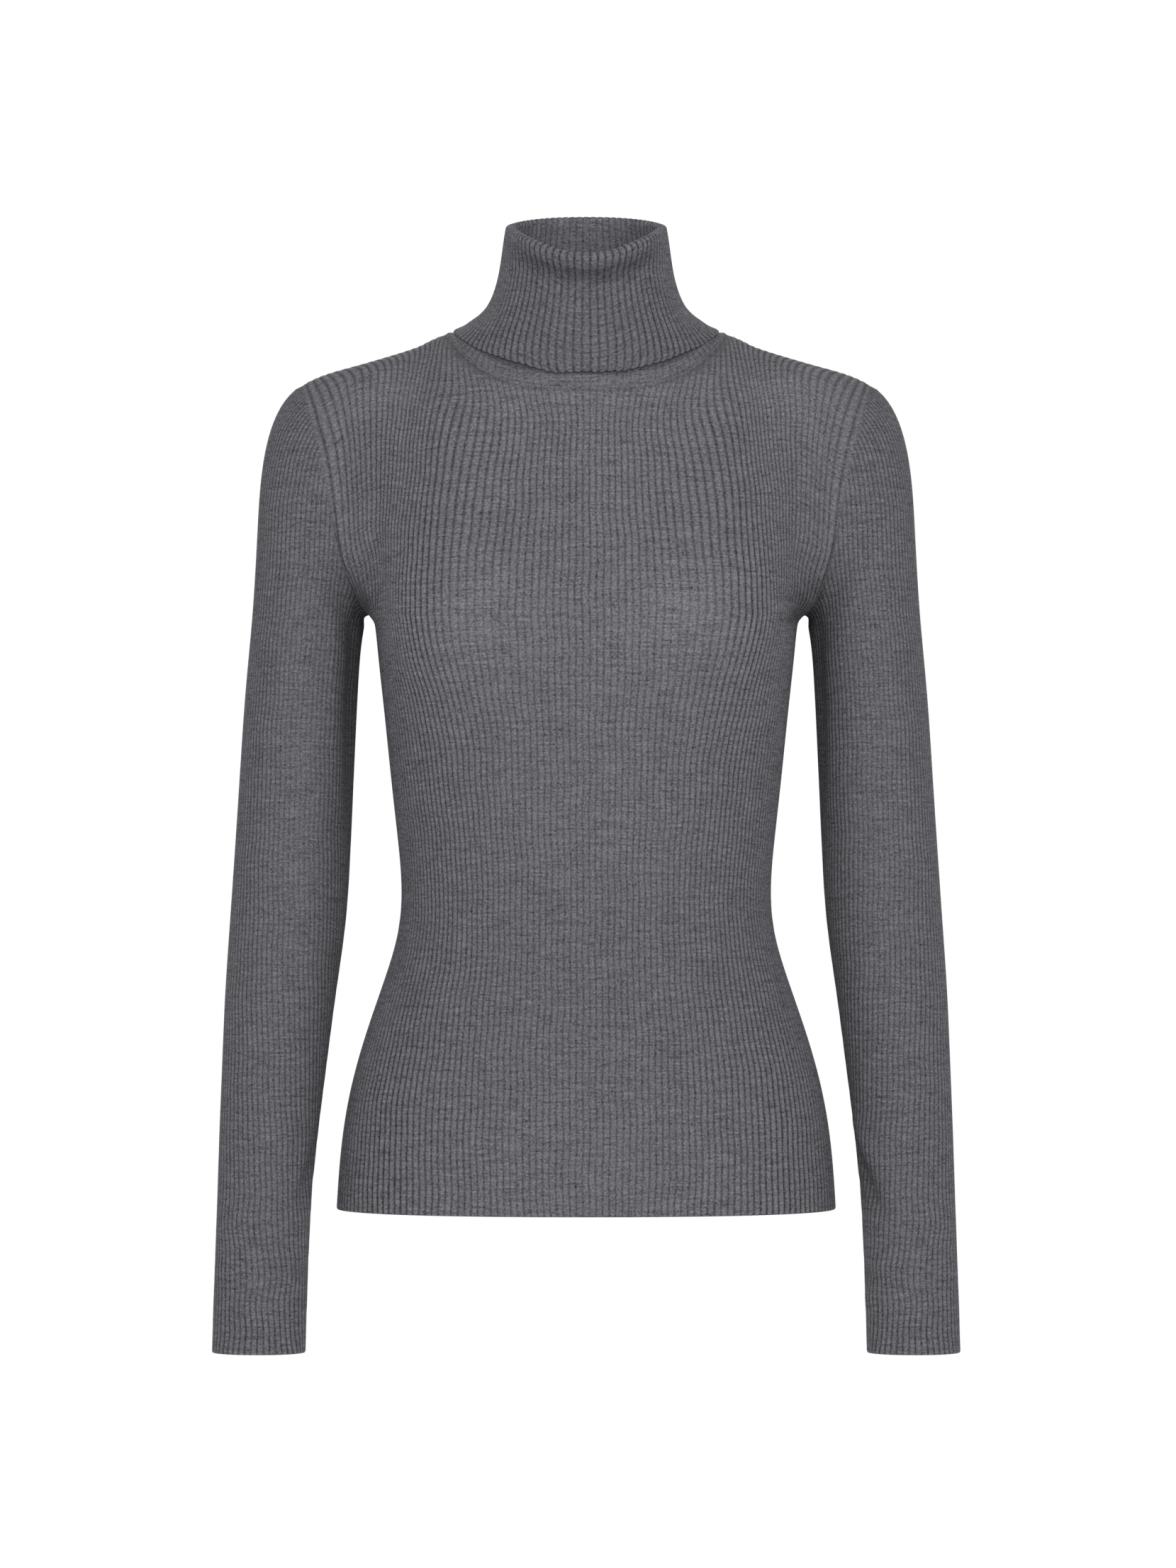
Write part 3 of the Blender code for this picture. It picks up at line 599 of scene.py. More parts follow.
def laid_over_panels(points):
    """The outer layer's points, moved out where they would come too near the front or the back."""
    shares = np.linspace(0.0, 1.0, PANEL_SAMPLES)
    alongs = np.linspace(PANEL_FROM, 1.0, PANEL_SAMPLES)
    near, normals = [], []
    for side in (FRONT, BACK):
        surface = yoke(side, shares, alongs)
        away = unit(grid_normals(surface)) * -FACING[side]
        for mirror in ((1.0, 1.0, 1.0), (-1.0, 1.0, 1.0)):
            near.append((surface * mirror).reshape(-1, 3))
            normals.append((away * mirror).reshape(-1, 3))
    near, normals = np.concatenate(near), np.concatenate(normals)
    tree = tree_of(near)
    moved = points.copy()
    for place in np.ndindex(points.shape[:2]):
        _, nearest, apart = tree.find(points[place])
        height = (points[place] - near[nearest]) @ normals[nearest]
        beside = math.sqrt(max(0.0, apart ** 2 - height ** 2))
        beside_neck = min(1.0, abs(points[place][0]) / SHOULDER_FROM)
        rows = EDGE_LAID + SHOULDER_LAID * beside_neck ** SHOULDER_POWER
        from_edge = (len(points) - 1 - place[0]) / rows
        least = EDGE_GAP + (PANEL_GAP - EDGE_GAP) * min(1.0, from_edge ** 2)
        lift = max(0.0, least - height) * (1 - smooth_step(beside, 0.0, LIFT_REACH))
        moved[place] += normals[nearest] * lift
    return moved


# ---- Grids along the ribs ----

def grid_normals(points):
    """Each point's outward direction times the area round it."""
    return np.cross(np.gradient(points, axis=1), np.gradient(points, axis=0))


def tree_of(points):
    tree = KDTree(len(points))
    for index, point in enumerate(points):
        tree.insert(point, index)
    tree.balance()
    return tree


def edge_spaced(start, end, count):
    """Even steps from start to end, with the close rows that round off an open edge at start."""
    direction = 1.0 if end > start else -1.0
    close = start + direction * np.array(EDGE_ROWS)
    even = np.linspace(start, end, count + 1)[1:]
    return np.concatenate((close, even))


def rib_places(count):
    """The rib numbers of a half's columns, from its middle to past a count of ribs."""
    whole = np.arange(math.ceil(count) + 1)[:, None]
    return (whole + np.array(RIB_PLACES)).ravel()[:1 - len(RIB_PLACES)]


def panel_ribs(alongs):
    """How many ribs lie between a panel's middle and its armhole, at each row of the yoke."""
    up = np.clip(lead(alongs) / LOWER_CURVE, 0.0, 1.0)
    return HALF_RIBS - (HALF_RIBS - ARMHOLE_RIBS) * (1 - (1 - up) ** 2)


def row_at_ribs(row, shares, ribs, edge, spread, push):
    """Points of one row at the wanted ribs, which close up evenly towards the armhole."""

    def place(share):
        """The share of the row at which an even share of the ribs has been passed."""
        return share * (1 + spread * (1 - share ** 2)) + push * bell(share, PUSH_REACH, PUSH_MIDDLE)

    arm_rib = ARM_SHARE * HALF_RIBS
    lengths = lengths_along(row)
    inside = np.minimum(ribs / HALF_RIBS, ARM_SHARE)
    at_arm, whole = np.interp((place(ARM_SHARE), 1.0), shares, lengths)
    steepness = (place(ARM_SHARE) - place(ARM_SHARE - NEAR)) / NEAR
    pitch = (np.interp(place(ARM_SHARE), shares, np.gradient(lengths, shares)) / HALF_RIBS
             * steepness)
    outside = np.clip((ribs - arm_rib) / (edge - arm_rib), 0.0, 1.0)
    first = np.clip(pitch * (edge - arm_rib) / (whole - at_arm), *CLOSING_LIMITS)
    beyond = at_arm + (whole - at_arm) * (first * outside + (1 - first) * outside ** 2)
    within = np.interp(place(inside), shares, lengths)
    return at_lengths(row, lengths, np.where(ribs <= arm_rib, within, beyond))


def panel_grid(side):
    """A whole panel as (points, rib number of each point), rows from the hem up."""
    ribs = rib_places(HALF_RIBS)
    shares = np.linspace(0.0, 1.0, FINE)
    lower = edge_spaced(HEM_HEIGHT, UNDERARM_HEIGHT - FLARE_DROP, LOWER_ROWS)
    flare = np.linspace(UNDERARM_HEIGHT - FLARE_DROP, UNDERARM_HEIGHT, FLARE_ROWS + 1)[1:-1]
    alongs = np.linspace(0.0, 1.0, YOKE_ROWS + 1)
    rows = [body_ring(side, height, shares) for height in np.append(lower, flare)]
    rows += list(yoke(side, shares, alongs))
    edges = np.append(np.full(len(lower) + len(flare), HALF_RIBS), panel_ribs(alongs))
    spreads = np.append(RIB_SPREAD_AT(np.append(lower, flare)), YOKE_SPREAD_AT(alongs))
    if len(rows) % 2 == 0:
        del rows[len(lower) // 2]
        edges, spreads = (np.delete(values, len(lower) // 2) for values in (edges, spreads))
    pushes = [PUSH_AT[side](row[0, 2])[0] for row in rows]
    half = np.stack([row_at_ribs(row, shares, np.minimum(ribs, edge), edge, spread, push)
                     for row, edge, spread, push in zip(rows, edges, spreads, pushes)])
    number = np.minimum(ribs, edges[:, None])
    points = np.concatenate((half[:, :0:-1] * (-1.0, 1.0, 1.0), half), axis=1)
    return points, np.concatenate((-number[:, :0:-1], number), axis=1)


def sleeve_half(side):
    """Half a sleeve as (points[row, column], rib numbers), from the top line to under the arm."""
    cap, turns, starts = sleeve_cap(side, FINE)
    seam = cap[0]
    fine_turns = np.linspace(0.0, math.pi if side == FRONT else -math.pi, FINE)

    def on_seam(height):
        """The armhole's point at a height."""
        return [np.interp(height, seam[::-1, 2], seam[::-1, axis]) for axis in range(3)]

    def section(height):
        """The level section at a height, from the top line to the seam or the underarm."""
        if height <= CAP_UNDER:
            return sleeve_ring(np.full(FINE, height), fine_turns)
        in_cap = seam[:, 2] > height
        points = sleeve_ring(np.full(FINE, height), turns)
        for column in np.nonzero(starts < height)[0]:
            line = cap[::-1, column]
            points[column, :2] = [np.interp(height, line[:, 2], line[:, axis]) for axis in (0, 1)]
        if height <= UNDERARM_HEIGHT:
            return points
        return np.concatenate((points[in_cap], [on_seam(height)]))

    def rib_count(height):
        """How many ribs half the whole ring at a height has."""
        turns_round = np.linspace(-math.pi, math.pi, 2 * FINE)
        half = lengths_along(sleeve_ring(np.full(2 * FINE, height), turns_round))[-1] / 2
        return half / SLEEVE_PITCH_AT(height)[0]

    def across(height, count):
        """A section's points at the columns, when so many ribs lie in it."""
        line = section(height)
        lengths = lengths_along(line)
        return at_lengths(line, lengths, np.minimum(columns / count, 1.0) * lengths[-1])

    under_count = rib_count(UNDERARM_HEIGHT)
    columns = rib_places(under_count)
    heights = np.arange(seam[0, 2] - SLICE / 2, TUBE_FROM, -SLICE)
    heights = np.append(heights, TUBE_FROM)
    whole = lengths_along(section(UNDERARM_HEIGHT - NEAR))[-1]
    pitch = whole / under_count
    above = heights > UNDERARM_HEIGHT
    at_seam = np.array([lengths_along(section(height))[-1] / pitch if higher else rib_count(height)
                        for height, higher in zip(heights, above)])
    sections = np.array([across(height, count) for height, count in zip(heights, at_seam)])
    seam_heights = np.append(seam[0, 2], np.append(heights[above], UNDERARM_HEIGHT))
    seam_ribs = np.maximum.accumulate(np.append(0.0, np.append(at_seam[above], under_count)))
    points = []
    for index, rib in enumerate(columns):
        end_height = np.interp(rib, seam_ribs, seam_heights)
        below = heights < end_height - NEAR
        line = np.concatenate(([on_seam(end_height)], sections[below, index]))
        lengths = lengths_along(line)
        points.append(at_lengths(line, lengths, np.linspace(0.0, lengths[-1], CAP_ROWS + 1)))
    points = np.stack(points, axis=1)
    numbers = np.minimum(np.tile(columns, (CAP_ROWS + 1, 1)), under_count)
    tube = edge_spaced(CUFF_HEIGHT, TUBE_FROM, TUBE_ROWS)[::-1][1:]
    if (len(tube) + CAP_ROWS + 1) % 2 == 0:
        tube = np.delete(tube, len(tube) // 2)
    counts = np.array([rib_count(height) for height in tube])
    rows = [across(height, count) for height, count in zip(tube, counts)]
    tube_numbers = np.minimum(columns, counts[:, None])
    return np.concatenate((points, rows)), np.concatenate((numbers, tube_numbers))


def sleeve_grid():
    """The left sleeve as (points, rib numbers), rows from the armhole down."""
    back, back_numbers = sleeve_half(BACK)
    front, front_numbers = sleeve_half(FRONT)
    return (np.concatenate((front[:, :0:-1], back), axis=1),
            np.concatenate((-front_numbers[:, :0:-1], back_numbers), axis=1))


def collar_grid():
    """The collar as (points, rib numbers), rows from the neck seam to the free edge."""
    turns = np.linspace(-math.pi, math.pi, 2 * FINE - 1)
    seam = NECK_AT(np.degrees(np.abs(turns)))[:, :3] * mirrored_x(turns)
    top, _ = collar_top(turns)
    shares = 0.5 * sum(lengths_along(line) / lengths_along(line)[-1] for line in (seam, top))
    form = collar_form(turns)
    ribs = np.arange(COLLAR_RIBS * COLLAR_SAMPLES + 1) / COLLAR_SAMPLES
    even = ribs / COLLAR_RIBS
    rows_out = len(form) - INNER_ROWS - FOLD_ROWS
    below = np.concatenate((np.linspace(1.0, 0.0, INNER_ROWS + 1), np.zeros(FOLD_ROWS - 1),
                            np.linspace(0.0, 1.0, rows_out)))
    spread = FOLD_SPREAD + (EDGE_SPREAD - FOLD_SPREAD) * below ** SPREAD_POWER
    twice = 2 * math.tau
    points = np.stack([at_lengths(row, shares, even - squeeze / twice * np.sin(twice * even))
                       for row, squeeze in zip(form, spread)])
    down = directions_along(points, 0)
    from_edge = np.cumsum(np.linalg.norm(np.diff(points, axis=0), axis=2)[::-1], axis=0)[::-1]
    from_edge = np.concatenate((from_edge, np.zeros((1, points.shape[1]))))
    scallop = EDGE_SCALLOP * np.cos(math.tau * ribs)
    scallop = scallop * (1 - smooth_step(from_edge, 0.0, SCALLOP_REACH))
    wave = sum(size * np.sin(math.tau * count * even + start)
               for count, size, start in EDGE_WAVES) * (1 - smooth_step(from_edge, 0.0, WAVES_REACH))
    wave = wave * np.cos(math.tau * even) ** 2
    points = points + down * (scallop + wave)[..., None]
    return points, np.tile(ribs, (len(points), 1))


# ---- Creases and seams ----

# Soft troughs (negative) and ridges that run from one place to another.
CREASES = {
    "front": (
        # x, z, end_x, end_z, width, depth
        (126, -171, 148, -191, 3, -1.8),
        (134, -162, 152, -183, 3, 1),
        (118, -178, 139, -196, 3, 0.9),
        (-160, -158, -142, -192, 4, -2),
        (-148, -160, -136, -196, 4, 0.9),
    ),
    "back": (
        (150, -168, 128, -196, 5, -2.2),
        (-160, -166, -142, -192, 5, -2.2),
    ),
    "sleeve_left": (
        # round from the top line (the front is negative), height, round, height, width, depth
        (-114, -165, -120, -330, 8, -2.4),
        (-92, -150, -118, -200, 3.5, -1.4),
        (-104, -140, -130, -195, 3, -1.2),
        (112, -160, 120, -300, 8, -2.2),
        (-93, -532, -58, -594, 5, -2.6),
        (-60, -560, -96, -520, 9, 1.6),
        (-110, -622, -40, -634, 5, -1.2),
        (-100, -646, -30, -640, 5, 1),
        (60, -560, 110, -590, 8, -1.8),
    ),
    "sleeve_right": (
        (-112, -150, -118, -340, 8, -3.2),
        (-90, -160, -97, -300, 6, 1.2),
        (-94, -148, -120, -196, 3.5, -1.5),
        (-104, -138, -130, -192, 3, -1.3),
        (112, -160, 120, -300, 8, -2.4),
        (-92, -530, -66, -590, 6, -1.8),
        (-100, -628, -40, -620, 5, -1),
        (50, -540, 100, -580, 8, -1.6),
    ),
}

# Soft patches of painted light and shade: painted highlights where the wool is lighter, and painted
# shade where it is darker.
PAINTED_LIGHT_PATCHES = {
    "front": (
        # x, z, reach_x, reach_z, change
        (-79, -190, 42, 34, 0.13),
        (67, -188, 42, 34, 0.15),
        (-140, -42, 50, 22, 0.09),
        (140, -42, 50, 22, 0.16),
        (77, -228, 34, 13, -0.06),
        (137, -190.5, 8, 5, -0.5),
        (0, -60, 100, 60, 0.04),
        (-150, -175, 16, 20, -0.28),
        (150, -175, 16, 20, -0.3),
        (-136, -225, 14, 50, -0.14),
        (136, -225, 14, 50, -0.14),
        (0, -430, 150, 90, -0.08),
    ),
    "back": (
        (-150, -175, 16, 20, -0.25),
        (150, -175, 16, 20, -0.25),
    ),
    "sleeve_left": (
        # round from the top line (the front is negative), height, reach round, reach up, change
        (-120, -205, 24, 50, -0.36),
        (-124, -290, 18, 70, -0.22),
        (-76, -570, 12, 22, -0.22),
        (110, -200, 26, 40, -0.25),
    ),
    "sleeve_right": (
        (-122, -212, 24, 62, -0.46),
        (-124, -310, 18, 70, -0.25),
        (110, -200, 26, 40, -0.25),
    ),
}

# Soft patches where the ribs are stretched flatter, or stand out more.
SMOOTHED = {
    "front": (
        # x, z, reach_x, reach_z, change
        (-116, -190, 20, 60, 0.6),
        (116, -190, 20, 60, 0.5),
        (-79, -197, 36, 38, -0.65),
        (70, -195, 36, 38, -0.6),
        (0, -300, 60, 60, -0.2),
        (152, -75, 32, 60, -0.35),
        (-150, -177, 9, 14, -0.7),
        (-142, -250, 7, 60, -0.5),
        (142, -250, 7, 60, -0.5),
    ),
    "back": (),
    "sleeve_left": (
        # round from the top line (the front is negative), height, reach round, reach up, change
        (-70, -300, 24, 150, -0.4),
    ),
    "sleeve_right": (
        (-74, -300, 24, 150, -0.6),
    ),
}


LEAST_FACTOR = 0.2  # however many patches overlap
CREASE_TAPER = 0.8  # how blunt a crease's ends are, below 1


def patch_field(across, up, rows):
    """A factor for each place of a grid, from a table's soft patches."""
    factor = np.ones(across.shape)
    for x, z, reach_x, reach_z, change in rows:
        factor += change * np.exp(-((across - x) / reach_x) ** 2 - ((up - z) / reach_z) ** 2)
    return np.maximum(factor, LEAST_FACTOR)


def crease_field(across, up, rows):
    """How far the creases of a table move each place of a grid out of the cloth."""
    total = np.zeros(across.shape)
    for start_x, start_z, end_x, end_z, width, depth in rows:
        along = np.array((end_x - start_x, end_z - start_z), float)
        length = np.linalg.norm(along)
        along /= length
        share = ((across - start_x) * along[0] + (up - start_z) * along[1]) / length
        apart = (across - start_x) * -along[1] + (up - start_z) * along[0]
        taper = np.sin(math.pi * np.clip(share, 0.0, 1.0)) ** CREASE_TAPER
        total += depth * taper * bell(apart, width)
    return total


# How the ribs wander to the side.
SWAY = (
    # waves per metre across, waves per metre up, start, size
    (5, 13, 0.7, 0.35),
    (-8, 21, 2.9, 0.25),
    (11, 34, 4.4, 0.15),
)


def swayed(points, across, up, strength):
    """A grid's points, moved a little along its rows so that the ribs wander."""
    shift = sum(size * np.sin(math.tau * MM * (wide * across + high * up) + start)
                for wide, high, start, size in SWAY)
    return points + directions_along(points, 1) * (shift * strength)[..., None]


UNDERARM_LIFT = 2.0  # how much higher the cloth is drawn at the bottom of the armhole
UNDERARM_REACH = (9.0, 14.0, 9.0)  # outward, forward and up
UNDERARM_WIDENING = (1.4, 0.0, 1.2)  # how far body and sleeve are drawn apart and up below it
WIDENED_HEIGHT = -193.5
WIDENED_REACH = (12.0, 14.0, 3.0)
WIDENED_FROM = 1.5  # from the gap's middle, where they are drawn apart the whole way
LINE_STEPS = 6  # points to each step of a line that distances are measured from


def underarm_drawn_up(points):
    """A grid's points, drawn up round the lowest place of the armhole."""
    apart = (np.abs(points * (1.0, 0.0, 0.0)) + points * (0.0, 1.0, 1.0) - ARMHOLE[0][1:4])
    near = np.exp(-((apart / UNDERARM_REACH) ** 2).sum(axis=-1))
    under = apart - (0.0, 0.0, WIDENED_HEIGHT - UNDERARM_HEIGHT)
    under = np.exp(-((under / WIDENED_REACH) ** 2).sum(axis=-1))
    share = np.clip(apart[..., :1] / WIDENED_FROM, -1.0, 1.0)
    direction = np.sign(points) * share * (1.0, 0.0, 0.0) + np.abs(share) * (0.0, 0.0, 1.0)
    aside = direction * UNDERARM_WIDENING
    return (points + (near * UNDERARM_LIFT)[..., None] * (0.0, 0.0, 1.0)
            + aside * under[..., None])


def edge_distance(points, lines):
    """How far each point of a grid lies from the nearest of some lines."""
    dense = []
    shares = np.arange(LINE_STEPS)[:, None, None] / LINE_STEPS
    for line in lines:
        dense.append((line[:-1] * (1 - shares) + line[1:] * shares).reshape(-1, 3))
        dense.append(line[-1:])
    tree = tree_of(np.concatenate(dense))
    flat = points.reshape(-1, 3)
    return np.array([tree.find(point)[2] for point in flat]).reshape(points.shape[:2])


# ---- Shells ----

SAME_RIB = 1e-9  # rib numbers nearer than this are one
SHARP_ANGLE = 75.0  # degrees between faces, from which an edge is left sharp
INSIDE_STEP = 2  # the plain inside of panels and sleeves has every second point each way


def same_points(numbers, closed):
    """An index for each place of a grid, shared where several columns have run into its edge."""
    rows, columns = numbers.shape
    index = np.arange(rows * columns).reshape(rows, columns)
    for row in range(rows):
        low = np.nonzero(numbers[row] <= numbers[row, 0] + SAME_RIB)[0][-1]
        high = np.nonzero(numbers[row] >= numbers[row, -1] - SAME_RIB)[0][0]
        index[row, :low + 1] = index[row, low]
        index[row, high:] = index[row, low] if closed else index[row, high]
    return index


def shell_normals(points, index):
    """Unit normals of a grid; places that share an index share a normal."""
    return unit(grid_normals(points).reshape(-1, 3)[index])


def triangles_of(index):
    """Two triangles for each square of a grid of indices."""
    a, b, c, d = index[:-1, :-1], index[:-1, 1:], index[1:, 1:], index[1:, :-1]
    return np.concatenate((np.stack((a, b, c), axis=-1).reshape(-1, 3),
                           np.stack((a, c, d), axis=-1).reshape(-1, 3)))


def shell_triangles(index, coarse, closed):
    """The triangles of a closed wall: its fine side, its other side and its rims."""
    rows, columns = index.shape
    snap_rows, snap_columns = ((np.arange(count) + coarse - 1) // coarse * coarse
                               for count in (rows, columns))
    other = index[snap_rows][:, snap_columns] + rows * columns
    borders = [(index[0, ::-1], other[0, ::-1]), (index[-1], other[-1])]
    if not closed:
        borders += [(index[:, 0], other[:, 0]), (index[::-1, -1], other[::-1, -1])]
    faces = [triangles_of(index), triangles_of(other)[:, ::-1]]
    faces += [triangles_of(np.stack((inner, outer))) for outer, inner in borders]
    faces = np.concatenate(faces)
    return faces[(faces != np.roll(faces, 1, axis=1)).all(axis=1)]


def make_shell(name, points, numbers, closed, facing, coarse, thick, fields):
    """A closed wall of cloth round a grid of middle points, with what the ribs need stored on it.

    thick is half the thickness at each place. fields holds pairs of what else is stored, for
    the fine side and for the other side, which has every coarse-th point each way.
    """
    index = same_points(numbers, closed)
    away = shell_normals(points, index) * facing
    faces = shell_triangles(index, coarse, closed)
    if facing < 0:
        faces = faces[:, ::-1]
    used, faces = np.unique(faces, return_inverse=True)
    faces = faces.reshape(-1, 3)
    corners = np.concatenate(((points + away * thick[..., None]).reshape(-1, 3),
                              (points - away * thick[..., None]).reshape(-1, 3))) * MM
    mesh = bpy.data.meshes.new(name)
    mesh.from_pydata(corners[used].tolist(), [], faces.tolist())
    mesh.shade_smooth()
    mesh.set_sharp_from_angle(angle=math.radians(SHARP_ANGLE))
    directions = np.concatenate((away.reshape(-1, 3), -away.reshape(-1, 3)))[used]
    outward = mesh.attributes.new("outward", "FLOAT_VECTOR", "POINT")
    outward.data.foreach_set("vector", directions.ravel())
    for field, (fine, other) in fields.items():
        values = np.concatenate((np.ravel(fine), np.ravel(other)))[used]
        mesh.attributes.new(field, "FLOAT", "POINT").data.foreach_set("value", values)
    piece = bpy.data.objects.new(name, mesh)
    bpy.context.scene.collection.objects.link(piece)
    return piece


# ---- Ribs, by Geometry Nodes ----

def adders(tree):
    """Two functions that add a node or a sum to a tree, fill its sockets and give its result."""

    def add(kind, inputs, output=0, **settings):
        node = tree.nodes.new(kind)
        for name, value in settings.items():
            setattr(node, name, value)
        for name, value in inputs.items():
            if isinstance(value, bpy.types.NodeSocket):
                tree.links.new(value, node.inputs[name])
            else:
                node.inputs[name].default_value = value
        return node.outputs[output]

    def maths(operation, *values):
        return add("ShaderNodeMath", dict(enumerate(values)), operation=operation)

    return add, maths


def rib_tree():
    """Raises ribs out of a shell: broad at the crest and narrow between, one to a rib number."""
    tree = bpy.data.node_groups.new("Knitted Ribs", "GeometryNodeTree")
    for name, kind in (("Geometry", "Geometry"), ("Rib Depth", "Float"),
                       ("Valley Sharpness", "Float"), ("Wool", "Material")):
        tree.interface.new_socket(name, in_out="INPUT", socket_type="NodeSocket" + kind)
    tree.interface.new_socket("Geometry", in_out="OUTPUT", socket_type="NodeSocketGeometry")
    add, maths = adders(tree)
    start = tree.nodes.new("NodeGroupInput").outputs
    end = tree.nodes.new("NodeGroupOutput").inputs

    def attribute(name, kind="FLOAT"):
        return add("GeometryNodeInputNamedAttribute", {"Name": name}, "Attribute", data_type=kind)

    wave = maths("COSINE", maths("MULTIPLY", attribute("rib_number"), math.tau))
    valley = maths("POWER", maths("MULTIPLY_ADD", wave, -0.5, 0.5), start["Valley Sharpness"])
    height = maths("MULTIPLY", maths("SUBTRACT", 0.5, valley), start["Rib Depth"])
    rise = maths("MULTIPLY", height, attribute("rib_amount"))
    offset = add("ShaderNodeVectorMath", {0: attribute("outward", "FLOAT_VECTOR"), "Scale": rise},
                 operation="SCALE")
    moved = add("GeometryNodeSetPosition", {"Geometry": start["Geometry"], "Offset": offset})
    real = add("GeometryNodeRealizeInstances", {0: moved})
    finished = add("GeometryNodeSetMaterial", {"Geometry": real, "Material": start["Wool"]})
    tree.links.new(finished, end["Geometry"])
    return tree


def raise_ribs(piece, depth, sharpness, material):
    """Runs the rib tree on a piece and keeps the result as a plain mesh."""
    tree = bpy.data.node_groups.get("Knitted Ribs") or rib_tree()
    modifier = piece.modifiers.new("ribs", "NODES")
    modifier.node_group = tree
    sockets = {item.name: item.identifier for item in tree.interface.items_tree
               if item.in_out == "INPUT"}
    modifier[sockets["Rib Depth"]] = depth
    modifier[sockets["Valley Sharpness"]] = sharpness
    modifier[sockets["Wool"]] = material
    ready = piece.evaluated_get(bpy.context.evaluated_depsgraph_get())
    mesh = bpy.data.meshes.new_from_object(ready)
    piece.modifiers.remove(modifier)
    old, piece.data = piece.data, mesh
    bpy.data.meshes.remove(old)
    mesh.name = piece.name
    return piece


# ---- Wool ----

KNIT_NOISES = (
    # waves to a rib, waves to a course, detail, share of the heather
    (0.12, 0.5, 1, 0.4),
    (0.4, 1.1, 1, 0.6),
    (3.1, 0.9, 0, 0.6),
)
SPACE_NOISES = (
    # waves to a metre, detail, share of the heather: single fibres, then clouds
    (800, 1, 0.85),
    (60, 3, 0.1),
)
NOISE_SPAN = 4.0  # a noise from 0 to 1 is stretched to this much round 0
# The painted shade deep in the valleys between the ribs:
VALLEY_NOISE = (0.9, 0.5, 0.0)  # waves to a rib, waves to a course, detail
VALLEY_CHANGE = 0.35  # how much that noise changes the shade in the valleys
VALLEY_POWER = 5.0  # how narrow that shade is
SHADE_AMOUNT = (0.7, 0.3, 1.3)  # how it follows the ribs' depth: factor, least and most
# The painted shade at the knit's outline, which follows the view:
RIM_BLEND = 0.35  # how far in from its outline the knit is shaded
RIM_VALLEYS = 2.6  # how much more the valleys darken there than the crests
STITCH_BUMP, FIBRE_BUMP = 0.25, 0.25
BUMP_STRENGTH, BUMP_DEPTH = 0.5, 0.0003  # the depth in metres
WOOL_SURFACE = {"Roughness": 0.95, "Specular IOR Level": 0.2, "Sheen Roughness": 0.5}


def wool(name, colour, settings):
    """Heathered wool knitted in ribs, with fine courses across them."""
    material = bpy.data.materials.new(name)
    material.use_nodes = True
    add, maths = adders(material.node_tree)

    def attribute(which):
        return add("ShaderNodeAttribute", {}, "Fac", attribute_name=which)

    def noise(vector, scale, detail):
        """Noise that lies mostly between -1 and 1."""
        sockets = {"Scale": scale, "Detail": detail, "Vector": vector}
        return maths("MULTIPLY_ADD", add("ShaderNodeTexNoise", sockets, "Fac"),
                     NOISE_SPAN, -NOISE_SPAN / 2)

    rib, course, amount = (attribute(which) for which in ("rib_number", "course", "rib_amount"))

    def knitted(along_rib, along_course, detail):
        """Noise laid out by ribs and courses."""
        place = {0: maths("MULTIPLY", rib, along_rib), 1: maths("MULTIPLY", course, along_course)}
        return noise(add("ShaderNodeCombineXYZ", place), 1.0, detail)

    wave = maths("MULTIPLY_ADD", maths("COSINE", maths("MULTIPLY", rib, math.tau)), -0.5, 0.5)
    factor, least, most = SHADE_AMOUNT
    amount = maths("MINIMUM", maths("MULTIPLY_ADD", amount, factor, least), most)
    valley = maths("MULTIPLY", maths("POWER", wave, VALLEY_POWER), amount)
    place = add("ShaderNodeTexCoord", {}, "Object")
    parts = [(knitted(*row), share) for *row, share in KNIT_NOISES]
    parts += [(noise(place, *row), share) for *row, share in SPACE_NOISES]
    light = 1.0
    for part, share in parts:
        light = maths("MULTIPLY_ADD", part, share * settings.heather, light)
    # Painted shade deep in the valleys between the ribs, uneven along them
    uneven = maths("MULTIPLY_ADD", knitted(*VALLEY_NOISE), VALLEY_CHANGE, 1.0)
    deep = maths("MULTIPLY", valley, uneven)
    light = maths("MULTIPLY", light, maths("MULTIPLY_ADD", deep, -settings.valley_shade, 1.0))
    # Painted light and shade that the pieces carry, a factor on the wool's colour
    light = maths("MULTIPLY", light, attribute("painted_light"))
    # Painted shade at the outline: darker where the knit is seen along its surface, most in the
    # valleys; it moves with the view
    between = maths("MULTIPLY", maths("SUBTRACT", wave, 0.5), amount)
    between = maths("MULTIPLY_ADD", between, RIM_VALLEYS, 1.0)
    facing = add("ShaderNodeLayerWeight", {"Blend": RIM_BLEND}, "Facing")
    turned = maths("MULTIPLY", facing, between)
    light = maths("MULTIPLY", light, maths("MULTIPLY_ADD", turned, -settings.rim_shade, 1.0))
    grey = add("ShaderNodeCombineColor", {0: light, 1: light, 2: light})
    tint = add("ShaderNodeMix", {"Factor": 1.0, "A": (*colour, 1.0), "B": grey}, "Result",
               data_type="RGBA", blend_type="MULTIPLY")

    stitch = maths("SINE", maths("MULTIPLY", course, math.tau))
    fibre = parts[len(KNIT_NOISES)][0]
    height = maths("ADD", maths("MULTIPLY", stitch, STITCH_BUMP),
                   maths("MULTIPLY", fibre, FIBRE_BUMP))
    bump = add("ShaderNodeBump", {"Strength": BUMP_STRENGTH, "Distance": BUMP_DEPTH,
                                  "Height": height})
    shader = material.node_tree.nodes["Principled BSDF"].inputs
    for socket, value in WOOL_SURFACE.items():
        shader[socket].default_value = value
    shader["Sheen Weight"].default_value = settings.sheen
    material.node_tree.links.new(tint, shader["Base Color"])
    material.node_tree.links.new(bump, shader["Normal"])
    return material


# ---- Settings ----

